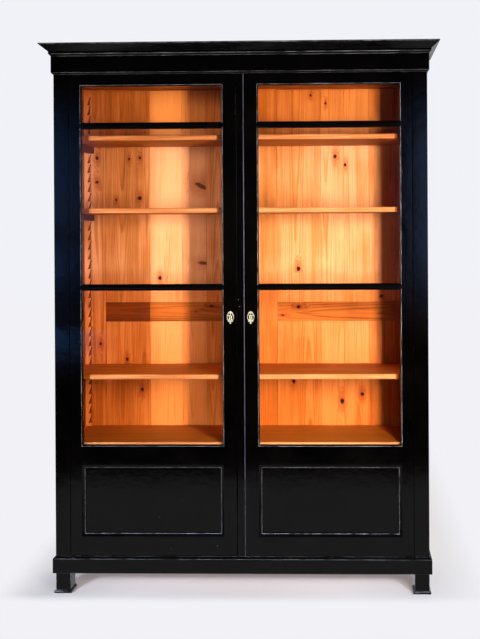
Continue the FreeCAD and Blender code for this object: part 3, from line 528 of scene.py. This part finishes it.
def place_knots(piece, knots, along=2):
    """Tell each face where its knot is: (x, z, half width, half height, turn) in metres and degrees.
    The board is cut halfway between knots, so that every face belongs to one knot only."""
    # a knot's x and z, by whether they run along the board or across it
    station, aside, across = (0, 1, 2) if along == 0 else (1, 0, 0)
    knots = sorted(knots, key=lambda knot: knot[station])
    cut_at(piece, [(low[station] + high[station]) / 2 for low, high in zip(knots, knots[1:])], along)
    mesh = piece.data
    values = [0.0] * (3 * len(mesh.loops))
    for face in mesh.polygons if knots else ():
        knot = min(knots, key=lambda knot: abs(face.center[along] - knot[station]))
        if abs(face.center[across] - knot[aside]) > KNOT_REACH:
            continue
        x, z, wide, tall, turn = knot
        c, t = math.cos(math.radians(turn)), math.sin(math.radians(turn))
        for corner in face.loop_indices:
            at = mesh.vertices[mesh.loops[corner].vertex_index].co
            right, up = at.x - x, at.z - z
            values[3 * corner:3 * corner + 3] = [(right * c + up * t) / wide, (up * c - right * t) / tall,
                                                 0.8 if wide > BRANCH else 1.0]
    store = mesh.attributes.new("knot", "FLOAT_VECTOR", "CORNER")
    store.data.foreach_set("vector", values)


# ------------------------------------------------------------------ case

# |x| + y everywhere on the mitre joints of the plinth, frieze and cornice
MITRE = 0.5465


def on_mitre(middle):
    """True on the mitre joints, whose corners stay tight."""
    return abs(abs(middle.x) + middle.y - MITRE) < 0.0004


for side in ("left", "right"):
    black_piece("front_post_" + side)
    # inside the case the back posts are shellacked like the boards beside them, and the right one's pine
    # is painted darker as shade
    inner, wood = (1, orange_pine) if side == "left" else (-1, shaded_pine)
    post = from_node("back_post_" + side, "back_post_" + side + "_polished", black, arris, wood)
    ease(post, 0.0012, slot=0)
    refinish(post, 2, lambda face: face.normal.x * inner > 0.9)
    lay_grain(post, 120)
    hand_over(post, "ebonised_wood", "back_post_" + side)
    black_piece("plinth_" + side, 0.001, on_mitre, worn_and_lit=1)
    black_piece("frieze_" + side, 0.001, on_mitre, worn_and_lit=1)
    black_piece("cornice_" + side, 0.0012, on_mitre, worn_and_lit=1)
black_piece("plinth_front", 0.001, on_mitre, worn_and_lit=1)
black_piece("frieze_front", 0.001, on_mitre, worn_and_lit=1)
black_piece("cornice_front", 0.0012, on_mitre, worn_and_lit=1)
# beyond this x the rails lie in the posts
RAIL_END = 0.669
for node in ("sill_rail", "head_rail"):
    black_piece(node, spare=lambda middle: abs(middle.x) > RAIL_END)
black_piece("feet", 0.0015, worn_and_lit=1)

for number, node in enumerate(("bottom_board", "fixed_shelf", "top_board")):
    middle_board = node == "fixed_shelf"
    board = pine_piece(node, 11 + number, 0.002, tone=-0.2 if middle_board else 0.0, tops=shaded_top_pine)
    # the doors close against the other two, whose edges are stained with the case
    if not middle_board:
        board.data.materials.append(dull_black)
        refinish(board, 3, lambda face: face.normal.y < -0.1)
# beyond this the front edges of the shelves, behind the hinge stiles, are painted darker as the stiles'
# shadow
STILE_SHADE = 0.603
for number, node in enumerate(("shelf_lower", "shelf_middle", "shelf_upper")):
    shelf = pine_piece(node, 21 + number, 0.0028, tone=-0.1, tops=shaded_top_pine)
    shelf.data.materials.append(dark_shade_pine)
    cut_at(shelf, (-STILE_SHADE, STILE_SHADE))
    refinish(shelf, 3, lambda face: abs(face.center.x) > STILE_SHADE and face.normal.y < -0.1)
for number, node in enumerate(("racks_left", "racks_right")):
    rack = pine_piece(node, 31 + number, 0.0008, tone=-0.12)
    # the slopes of the teeth are painted dark as shade
    rack.data.materials.append(notch_shade_pine)
    refinish(rack, 3, lambda face: 0.2 < abs(face.normal.z) < 0.98)
# the cleats under the shelves are painted dark as shade
pine_piece("shelf_cleats", 33, 0.0008, tone=-0.12, wood=shaded_cleat_pine)
pine_piece("dust_board", 40, wood=bare_pine)

# knots of the framed back: x, z, half width, half height, turn
STILE_KNOTS = [(-0.652, 1.724, 0.0075, 0.009, 0), (-0.652, 1.621, 0.0075, 0.0085, 10),
               (-0.640, 0.930, 0.006, 0.008, 0)]
RAIL_KNOTS = [(-0.165, 1.090, 0.007, 0.011, 80), (-0.230, 1.066, 0.003, 0.005, 90),
              (0.208, 1.086, 0.008, 0.010, 85), (0.140, 1.050, 0.004, 0.006, 90)]
BOARD_KNOTS = [
    (-0.515, 1.719, 0.006, 0.007, 0), (-0.468, 1.724, 0.0065, 0.007, 0), (-0.470, 1.552, 0.0095, 0.010, 0),
    (-0.571, 1.544, 0.005, 0.006, 0), (-0.385, 1.210, 0.009, 0.010, 0), (-0.208, 1.603, 0.034, 0.011, -30),
    (-0.198, 1.273, 0.029, 0.0085, -6), (-0.528, 0.863, 0.007, 0.008, 0), (-0.464, 0.734, 0.008, 0.009, 0),
    (0.366, 1.724, 0.009, 0.010, 0), (0.409, 1.689, 0.007, 0.008, 0), (0.208, 1.248, 0.010, 0.011, 0),
    (0.130, 1.214, 0.005, 0.009, 0), (0.263, 1.985, 0.006, 0.006, 0), (0.327, 1.951, 0.005, 0.006, 0),
    (0.186, 0.768, 0.009, 0.011, 0), (0.477, 0.713, 0.009, 0.009, 0), (0.391, 0.683, 0.010, 0.012, 0),
    (-0.330, 0.352, 0.011, 0.012, 0), (0.260, 0.402, 0.009, 0.010, 0), (0.560, 1.130, 0.008, 0.009, 0),
    (-0.560, 0.420, 0.008, 0.010, 0), (0.440, 0.250, 0.010, 0.011, 0)]

# the y of the framed back's inner face, and the x of its outer edges
BACK_FACE = 0.2065
BACK_EDGE = 0.699
# where the board joints of the back lie, left and right of the middle stile, and each board's shade
BOARD_JOINTS = ((-0.617, -0.503, -0.427, -0.2885, -0.1846, -0.117),
                (0.117, 0.3038, 0.4022, 0.5087, 0.617))
BOARD_TONES = (0.0, -0.02, -0.36, -0.3, -0.12, -0.1, -0.24, -0.26, -0.1)

stiles = from_node("back_stiles", "back_stiles_planed", orange_pine, orange_pine, bare_pine, notch_shade_pine)
ease(stiles, 0.001, lambda middle: abs(middle.y - BACK_FACE) > 0.001 or abs(middle.x) > BACK_EDGE)
place_knots(stiles, STILE_KNOTS)
# the strip behind each rack's teeth is painted dark as shade, and shows dark through the notches
teeth_shade_x = 0.004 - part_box("racks_left")[1][0]
cut_at(stiles, (-teeth_shade_x, teeth_shade_x))
refinish(stiles, 3, lambda face: abs(face.center.x) > teeth_shade_x and face.normal.y < -0.9)
rails = from_node("back_rails", "back_rails_planed", orange_pine, dark_shade_pine, bare_pine)
place_knots(rails, RAIL_KNOTS, along=0)
# painted shade: the left end of the middle rail is darker, up to the board joint where the left lamp's
# shadow edge falls
dark_end = BOARD_JOINTS[0][2]
cut_at(rails, (dark_end,))
refinish(rails, 1, lambda face: face.center.x < dark_end and 1.0 < face.center.z < 1.2)
for node, piece, tone in (("back_stiles", stiles, 0.02), ("back_rails", rails, 0.2)):
    refinish(piece, 2, lambda face: face.normal.y > 0.9)
    lay_grain(piece, 61, tone, heart=(0.05, 0.09))
    hand_over(piece, "shellacked_pine", node)


def matched_boards(node, seed):
    """The back's tongued and grooved boards, of unequal widths as they came, with a V at each joint."""
    low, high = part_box(node)
    boards = []
    for joints in BOARD_JOINTS:
        for left, right in zip(joints, joints[1:]):
            let_go()
            middle = ((left + right) / 2, (low[1] + high[1]) / 2, (low[2] + high[2]) / 2)
            bpy.ops.mesh.primitive_cube_add(size=1.0, location=middle)
            board = bpy.context.active_object
            board.scale = (right - left, high[1] - low[1], high[2] - low[2])
            bpy.ops.object.transform_apply()
            for wood in (orange_pine, orange_pine, bare_pine):
                board.data.materials.append(wood)
            ease(board, 0.0022, lambda spot: abs(spot.z - middle[2]) > 0.01, segments=1)
            refinish(board, 2, lambda face: face.normal.y > 0.9)
            place_knots(board, [knot for knot in BOARD_KNOTS
                                if left < knot[0] < right and low[2] < knot[1] < high[2]])
            lay_grain(board, seed + len(boards), BOARD_TONES[len(boards)], 0.03, heart=(0.012, 0.07))
            boards.append(board)
    hand_over(joined(boards, node + "_matched"), "shellacked_pine", node)


matched_boards("back_boards_lower", 70)
matched_boards("back_boards_upper", 90)

for number, node in enumerate(("side_panel_left", "side_panel_right", "side_rails")):
    # the right side's inner face and the side rails' inner faces get the pine painted darker as shade
    inside = orange_pine if node == "side_panel_left" else shaded_pine
    piece = from_node(node, node + "_finished", black, arris, inside)
    ease(piece, 0.001)
    refinish(piece, 2, lambda face: (face.normal.x if face.center.x < 0 else -face.normal.x) > 0.7)
    lay_grain(piece, 110 + number)
    hand_over(piece, "ebonised_wood", node)


# ------------------------------------------------------------------ doors

# the y of the front of the doors' mouldings, and the x of the inner edges of the door frames
FRONT = -0.1815
SIGHT = (0.067, 0.625)
# the heights of the glazing bars' middles, and the lower and upper edges of the three panes
BARS = (1.191, 1.822)
PANES = ((0.5715, 1.183), (1.199, 1.814), (1.830, 1.9805))
# and of the wood panel
PANEL = (0.219, 0.500)
# the y of the backs of the panel's ring, the glazing bars and the beads, and of both sides of the fillets
RING_BACK, BAR_BACK, BEAD_BACK = -0.1695, -0.1605, -0.1715
FILLET_FRONT, FILLET_BACK = -0.1685, -0.1585
# sections of the mouldings as steps from the outside inwards: (how wide, how far back), in metres
OVOLO = ((0.0014, 0.0), (0.0003, 0.0012), (0.0007, 0.0002), (0.0009, 0.0010), (0.0007, 0.0016),
         (0.0005, 0.0022), (0.0003, 0.0020), (0.0004, 0.0008))
OGEE = ((0.0014, 0.0), (0.0006, 0.0016), (0.0020, 0.0006), (0.0022, 0.0018), (0.0020, 0.0026),
        (0.0020, 0.0012), (0.0006, -0.0008), (0.0018, 0.0), (0.0006, 0.0020), (0.0018, 0.0006))
SQUARE = ((0.0020, 0.0), (0.0028, 0.0))
# how far the pale flat step of each section lies behind its front; a square fillet has none
OVOLO_LIP = 0.0
OGEE_LIP = 0.0070
NO_LIP = -1.0
# lips this close to a glazing bar's middle stay black
BESIDE_BAR = 0.012


def moulded_frame(name, left, right, bottom, top, front, back, steps, pale, *materials):
    """A mitred frame of moulding: its section is drawn by insets from the front, then closed at the back.
    The flat step that lies `pale` behind the front is a lip with the painted highlight of slot 1, but not
    beside the glazing bars."""
    let_go()
    bpy.ops.mesh.primitive_plane_add(size=1.0, location=((left + right) / 2, front, (bottom + top) / 2),
                                     rotation=(math.pi / 2, 0, 0))
    moulding = bpy.context.active_object
    moulding.name = name
    moulding.scale = (right - left, top - bottom, 1.0)
    bpy.ops.object.transform_apply()
    for material in materials:
        moulding.data.materials.append(material)
    bpy.ops.object.mode_set(mode="EDIT")
    bpy.ops.mesh.select_mode(type="FACE")
    bpy.ops.mesh.select_all(action="SELECT")
    for wide, deep in steps:
        bpy.ops.mesh.inset(thickness=wide, depth=-deep, use_even_offset=True)
    bpy.ops.mesh.delete(type="FACE")
    bpy.ops.mesh.select_mode(type="EDGE")
    shape = bmesh.from_edit_mesh(moulding.data)
    for edge in shape.edges:
        edge.select_set(len(edge.link_faces) == 1)
    bmesh.update_edit_mesh(moulding.data)
    bpy.ops.mesh.extrude_edges_move(TRANSFORM_OT_translate={"value": (0, 0, 0)})
    bpy.ops.transform.resize(value=(1, 0, 1), center_override=(0, back, 0))
    bpy.ops.mesh.bridge_edge_loops()
    bpy.ops.mesh.select_all(action="SELECT")
    bpy.ops.mesh.normals_make_consistent()
    bpy.ops.object.mode_set(mode="OBJECT")
    refinish(moulding, 1, lambda face: face.normal.y < -0.99
             and abs(face.center.y - front - pale) < 1e-5
             and min(abs(face.center.z - bar) for bar in BARS) > BESIDE_BAR)
    return moulding


# half the height of a glazing bar and of its end collars, the radius of their noses, the collars' length
# and how far they stand in front of the bar
BAR_HALF, BAR_NOSE = 0.008, 0.0068
COLLAR_HALF, COLLAR_NOSE = 0.0125, 0.0075
COLLAR_LONG, COLLAR_PROUD = 0.013, 0.0012


def round_bar(name, left, right, middle, front, back):
    """A glazing bar with a half-round nose, and at each end the short collar that dies on the stile."""
    bars = []
    for from_x, to_x, half, nose, proud in (
            (left, right, BAR_HALF, BAR_NOSE, front),
            (left, left + COLLAR_LONG, COLLAR_HALF, COLLAR_NOSE, front - COLLAR_PROUD),
            (right - COLLAR_LONG, right, COLLAR_HALF, COLLAR_NOSE, front - COLLAR_PROUD)):
        let_go()
        bpy.ops.mesh.primitive_cube_add(
            size=1.0, location=((from_x + to_x) / 2, (proud + back) / 2, middle))
        bar = bpy.context.active_object
        bar.scale = (to_x - from_x, back - proud, 2 * half)
        bpy.ops.object.transform_apply()
        bar.data.materials.append(black)
        bar.data.materials.append(arris)
        ease(bar, nose, lambda spot: spot.y > (proud + back) / 2 - 0.001 or abs(spot.z - middle) < 0.001,
             segments=6, slot=0)
        bars.append(bar)
    return joined(bars, name)


# points this close to a joint lie on it
TOUCH = 0.0005

for side, sign in (("left", -1), ("right", 1)):
    door = "door_" + side + "_"
    left, right = sorted(sign * edge for edge in SIGHT)
    black_piece(door + "hinge_stile", spare=lambda spot: abs(abs(spot.x) - SIGHT[1]) < TOUCH)
    black_piece(door + "meeting_stile", spare=lambda spot: abs(abs(spot.x) - SIGHT[0]) < TOUCH)
    black_piece(door + "rails",
                spare=lambda spot: not SIGHT[0] + TOUCH <= abs(spot.x) <= SIGHT[1] - TOUCH)
    black_piece(door + "panel")

    ring = moulded_frame(door + "panel_moulding_worked", left, right, *PANEL, FRONT, RING_BACK, OGEE,
                         OGEE_LIP, black, panel_lip, lip)
    # the lowest lip gets the paler painted highlight of the bead lips
    refinish(ring, 2, lambda face: face.material_index == 1 and face.center.z < PANEL[0] + 0.021)
    hand_over(ring, "ebonised_wood", door + "panel_moulding")

    bars = [round_bar(door + "bar", left, right, middle, FRONT, BAR_BACK) for middle in BARS]
    hand_over(joined(bars, door + "glazing_bars_worked"), "ebonised_wood", door + "glazing_bars")

    # a bead in front of each pane and a plain fillet behind it
    beads = []
    for pane in PANES:
        beads.append(moulded_frame(door + "bead", left, right, *pane, FRONT, BEAD_BACK, OVOLO,
                                   OVOLO_LIP, black, lip))
        beads.append(moulded_frame(door + "fillet", left, right, *pane, FILLET_FRONT, FILLET_BACK, SQUARE,
                                   NO_LIP, black))
    hand_over(joined(beads, door + "glazing_beads_worked"), "ebonised_wood", door + "glazing_beads")
# the cover strip, whose right corner gets a painted highlight
strip = from_node("astragal", "astragal_polished", black, strip_edge)
ease(strip, 0.0042, segments=4, slot=0)
refinish(strip, 1, lambda face: 0.5 < face.normal.x < 0.97 and face.normal.y < -0.1)
hand_over(strip, "ebonised_wood", "astragal")


# how the cartouche's drawing, in millimetres, becomes metres across and upwards
CAST_X, CAST_Z = 0.84 / 1000, 0.94 / 1000
# the y of the plate's middle and of the middles of its beads and collar
PLATE_Y, BEAD_Y = -0.1823, -0.1829


def escutcheon(side, middle):
    """A cast cartouche: a lobed dome over two round holes, beaded flanks with two long openings, a raised
    collar round the keyhole, and a pointed foot between two leaves. The plate is one flat curve, filled
    and rounded."""
    half = ((0.0, 26.0), (3.4, 24.6), (6.8, 22.6), (10.6, 19.6), (12.0, 16.2), (12.3, 13.0), (15.2, 10.2),
            (16.2, 5.4), (16.1, -0.6), (14.6, -6.4), (11.4, -10.8), (11.6, -14.0), (10.6, -17.4),
            (7.4, -16.2), (4.6, -16.6), (3.6, -21.0), (2.4, -24.6), (0.0, -26.0))
    outline = list(half) + [(-x, y) for x, y in reversed(half[1:-1])]
    eyes = [[(x + 4.3 * math.cos(k * math.pi / 4), 13.2 + 4.3 * math.sin(k * math.pi / 4))
             for k in range(8)] for x in (5.6, -5.6)]
    flanks = [[(s * x, y) for x, y in ((8.6, 8.2), (12.2, 7.8), (14.1, 3.0), (13.1, -3.8), (9.2, -8.8),
                                       (6.5, -3.6), (7.2, 2.6), (7.0, 6.2))] for s in (1, -1)]
    keyhole = [(0.0, 5.8), (2.6, 4.8), (3.2, 2.4), (1.9, 0.0), (1.8, -3.0), (2.5, -7.2), (0.0, -7.6),
               (-2.5, -7.2), (-1.8, -3.0), (-1.9, 0.0), (-3.2, 2.4), (-2.6, 4.8)]
    drawing = bpy.data.curves.new("cartouche", "CURVE")
    drawing.dimensions = "2D"
    drawing.fill_mode = "BOTH"
    drawing.extrude = 0.00045
    drawing.bevel_depth = 0.00035
    drawing.bevel_resolution = 2
    for loop in [outline] + eyes + flanks + [keyhole]:
        line = drawing.splines.new("BEZIER")
        line.bezier_points.add(len(loop) - 1)
        for point, (x, y) in zip(line.bezier_points, loop):
            point.co = (CAST_X * x, CAST_Z * y, 0)
            point.handle_left_type = point.handle_right_type = "AUTO"
        line.use_cyclic_u = True
        line.resolution_u = 3
    plate = bpy.data.objects.new("cartouche", drawing)
    bpy.context.scene.collection.objects.link(plate)
    take_up(plate)
    bpy.ops.object.convert(target="MESH")
    plate = bpy.context.active_object
    plate.rotation_euler = (math.pi / 2, 0, 0)
    plate.location = (middle[0], PLATE_Y, middle[1])
    bpy.ops.object.transform_apply()
    extras = [plate]
    beads = [(14.3, 7.4), (14.6, 4.6), (14.6, 1.8), (14.4, -1.0), (13.8, -3.8), (12.7, -6.4),
             (10.2, 15.0), (9.4, 17.8), (6.6, 20.2), (3.4, 22.2), (0.0, 23.6), (0.0, -20.6),
             (8.6, -13.6), (5.6, -11.6)]
    for x, y in beads:
        for turn in ((1, -1) if x else (1,)):
            bpy.ops.mesh.primitive_uv_sphere_add(
                segments=10, ring_count=6, radius=0.00115,
                location=(middle[0] + turn * CAST_X * x, BEAD_Y, middle[1] + CAST_Z * y))
            extras.append(bpy.context.active_object)
    bpy.ops.mesh.primitive_torus_add(
        major_radius=0.0043, minor_radius=0.0009, major_segments=28, minor_segments=8,
        location=(middle[0], BEAD_Y, middle[1] + 0.0024), rotation=(math.pi / 2, 0, 0))
    extras.append(bpy.context.active_object)
    for thing in extras[1:]:
        take_up(thing)
        bpy.ops.object.transform_apply()
    plate = joined(extras, "door_" + side + "_escutcheon_cast")
    plate.data.materials.clear()
    plate.data.materials.append(brass)
    take_up(plate)
    bpy.ops.object.shade_smooth_by_angle(angle=math.radians(40))
    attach(plate, side + "_door")
    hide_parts("door_" + side + "_escutcheon")


escutcheon("left", (-0.0395, 1.073))
escutcheon("right", (0.0395, 1.073))

# the nodes' own finishes, for the panes, bolts, plates, pivots and lock, which show as they are
for node, thing in frame["nodes"].items():
    if node.endswith("_glass"):
        finish = glass
    elif node.endswith("_escutcheon"):
        finish = brass
    elif "pivot" in node:
        finish = iron
    else:
        finish = steel
    for place in thing.material_slots:
        place.material = finish


# ------------------------------------------------------------------ floor, lamps and camera

def studio():
    """A pale room and a pale floor. The floor keeps the shade round the feet and looks like the room
    elsewhere; the world is brighter behind the case than in front, where polish would mirror it."""
    world = bpy.data.worlds.new("studio")
    bpy.context.scene.world = world
    world.use_nodes = True
    tree = world.node_tree
    tree.nodes.clear()
    seen = add(tree, "LightPath")
    turn = add(tree, "SeparateXYZ", {"Vector": add(tree, "TexCoord").outputs["Generated"]})
    dim = add(tree, "MapRange", {"Value": turn.outputs["Y"], "From Min": -0.5, "From Max": 0.5,
                                 "To Min": 0.03, "To Max": 0.4})
    plain = add(tree, "Background", {"Color": linear("#F1F2F7")})
    room = add(tree, "Background", {"Color": linear("#F4F4F6"), "Strength": dim.outputs["Result"]})
    both = add(tree, "MixShader", {0: seen.outputs["Is Camera Ray"], 1: room.outputs[0],
                                   2: plain.outputs[0]})
    add(tree, "OutputWorld", {"Surface": both.outputs[0]})

    bpy.ops.mesh.primitive_plane_add(size=40.0)
    floor = bpy.context.active_object
    floor.name = "floor"
    material, tree = new_material("pale_studio_floor")
    where = add(tree, "TexCoord").outputs["Object"]
    flat = add(tree, "SeparateXYZ", {"Vector": where})
    # away is how far a point lies outside the plinth, sideways and in front; the floor is matt near it
    # and glows like the room beyond
    across = add(tree, "Math", {0: flat.outputs["X"]}, operation="ABSOLUTE")
    side = add(tree, "Math", {0: across.outputs[0], 1: 0.74}, operation="SUBTRACT")
    ahead = add(tree, "Math", {0: -0.19, 1: flat.outputs["Y"]}, operation="SUBTRACT")
    away = add(tree, "CombineXYZ", {"X": side.outputs[0], "Y": ahead.outputs[0]})
    away = add(tree, "VectorMath", {0: away.outputs[0], 1: (0.0, 0.0, 0.0)}, operation="MAXIMUM")
    away = add(tree, "VectorMath", {0: away.outputs[0], 1: (0.6, 1.4, 1.0)}, operation="MULTIPLY")
    away = add(tree, "VectorMath", {0: away.outputs[0]}, operation="LENGTH")
    fade = smooth(tree, away.outputs["Value"], 0.0, 0.15, 0.2, 1.0)
    seen = add(tree, "LightPath")
    looked = add(tree, "Math", {0: seen.outputs["Is Camera Ray"], 1: fade}, operation="MULTIPLY")
    # the lit paper ends two metres in front, and polish shows nothing of the ground beyond it
    near = smooth(tree, flat.outputs["Y"], -2.4, -1.7, 0.0, 0.55)
    wide = smooth(tree, across.outputs[0], 1.0, 1.5, 1.0, 0.1)
    near = add(tree, "Math", {0: near, 1: wide}, operation="MULTIPLY")
    level = add(tree, "Math", {0: seen.outputs["Is Glossy Ray"], 1: near.outputs[0],
                               2: seen.outputs["Is Camera Ray"]}, operation="MULTIPLY_ADD")
    share = add(tree, "Math", {0: looked.outputs[0], 1: seen.outputs["Is Glossy Ray"]}, operation="ADD")
    matt = add(tree, "BsdfDiffuse", {"Color": linear("#F2F0EF")})
    pale = add(tree, "Emission", {"Color": linear("#F1F1F6"), "Strength": level.outputs[0]})
    both = add(tree, "MixShader", {0: share.outputs[0], 1: matt.outputs[0], 2: pale.outputs[0]})
    add(tree, "OutputMaterial", {"Surface": both.outputs[0]})
    floor.data.materials.append(material)


def lamp(name, place, aim, size, power, colour="#FFFFFF", spread=180.0):
    """A flat lamp of the given width and height, aimed at a point. It lights, but isn't seen in polish."""
    light = bpy.data.lights.new(name, "AREA")
    light.shape = "RECTANGLE"
    light.size, light.size_y = size
    light.energy = power
    light.color = linear(colour)[:3]
    light.spread = math.radians(spread)
    holder = bpy.data.objects.new(name, light)
    bpy.context.scene.collection.objects.link(holder)
    holder.location = place
    holder.rotation_euler = (Vector(aim) - Vector(place)).to_track_quat("-Z", "Y").to_euler()
    holder.visible_camera = False
    holder.visible_glossy = False


def card(name, place, aim, size, strength, colour="#FFFFFF", border=0.12):
    """A glowing card for the polish to reflect, of the given width and height. It is even up to border,
    a share of its size from its middle, and fades out from there; it lights nothing."""
    let_go()
    bpy.ops.mesh.primitive_plane_add(size=1.0, location=place)
    sheet = bpy.context.active_object
    sheet.name = name
    sheet.scale = (size[0], size[1], 1.0)
    sheet.rotation_euler = (Vector(aim) - Vector(place)).to_track_quat("-Z", "Y").to_euler()
    material, tree = new_material(name)
    spot = add(tree, "SeparateXYZ", {"Vector": add(tree, "TexCoord").outputs["Object"]})
    level = strength
    for axis in ("X", "Y"):
        off = add(tree, "Math", {0: spot.outputs[axis]}, operation="ABSOLUTE")
        fade = smooth(tree, off.outputs[0], border, 0.5)
        level = add(tree, "Math", {0: level, 1: fade}, operation="MULTIPLY").outputs[0]
    shine = add(tree, "Emission", {"Color": linear(colour), "Strength": level})
    add(tree, "OutputMaterial", {"Surface": shine.outputs[0]})
    material.cycles.emission_sampling = "NONE"
    sheet.data.materials.append(material)
    sheet.visible_camera = False
    sheet.visible_diffuse = False
    sheet.visible_transmission = False
    sheet.visible_shadow = False


studio()
# name, place, aim, width and height, power or strength, colour
lamp("key_right", (1.05, -2.3, 1.4), (0.2, 0.2, 1.15), (0.25, 1.0), 25.5, "#FFF0E2", spread=60.0)
lamp("key_left", (-1.73, -2.3, 1.45), (-0.48, 0.2, 1.35), (0.25, 1.5), 2.75, "#FFF0E2", spread=21.0)
lamp("back_box", (0.6, 3.2, 3.4), (0.0, 0.2, 1.0), (2.2, 2.0), 80.0)
lamp("floor_left", (-1.2, -1.7, 0.7), (-0.35, 0.0, 0.0), (0.3, 0.2), 3.6, "#E8EEFF", spread=50.0)
lamp("floor_right", (1.3, -1.7, 0.7), (0.35, 0.0, 0.0), (0.3, 0.2), 3.6, "#E8EEFF", spread=50.0)
card("side_card_right", (2.5, -0.5, 1.3), (0.7, 0.0, 1.1), (1.8, 2.4), 3.7)
card("side_card_left", (-2.5, 0.1, 1.3), (-0.7, 0.0, 1.1), (1.2, 2.4), 2.2, "#D4E2FF")
card("glow_left_low", (-1.75, -3.0, 0.95), (-1.75, 0.0, 0.95), (1.3, 1.0), 3.4, "#5A9AF0")
card("glow_left_high", (-1.75, -3.0, 1.6), (-1.75, 0.0, 1.6), (1.3, 1.7), 1.6, "#6E9EF0")
card("glow_right", (1.05, -3.0, 1.6), (1.05, 0.0, 1.6), (0.7, 1.8), 2.0, "#90AEF0")
card("top_card", (-0.2, -2.6, 3.6), (0.0, -0.2, 1.2), (2.4, 0.9), 0.75)
card("strip_right", (1.8, -2.2, 1.75), (0.3, -0.18, 1.3), (0.3, 1.3), 14.0, border=0.1)
card("strip_left", (-2.4, -2.0, 1.75), (-0.3, -0.18, 1.3), (0.3, 1.3), 10.0, "#DCE6FF", border=0.1)

# the render's size, its optical centre and the focal length, all in pixels
WIDE, TALL = 480.0, 639.0
CENTRE = (320.0, 232.42)
FOCAL = 1032.87

lens = bpy.data.cameras.new("camera")
lens.sensor_width = 36.0
lens.lens = FOCAL * lens.sensor_width / TALL
lens.shift_x = (WIDE / 2 - CENTRE[0]) / TALL
lens.shift_y = (CENTRE[1] - TALL / 2) / TALL
camera = bpy.data.objects.new("camera", lens)
bpy.context.scene.collection.objects.link(camera)
camera.location = (0.41476, -4.18547, 1.40983)
camera.rotation_euler = (math.radians(90 - 0.11), math.radians(0.2945), math.radians(1.492))
bpy.context.scene.camera = camera
bpy.context.scene.view_settings.view_transform = "Standard"

bpy.context.view_layer.update()
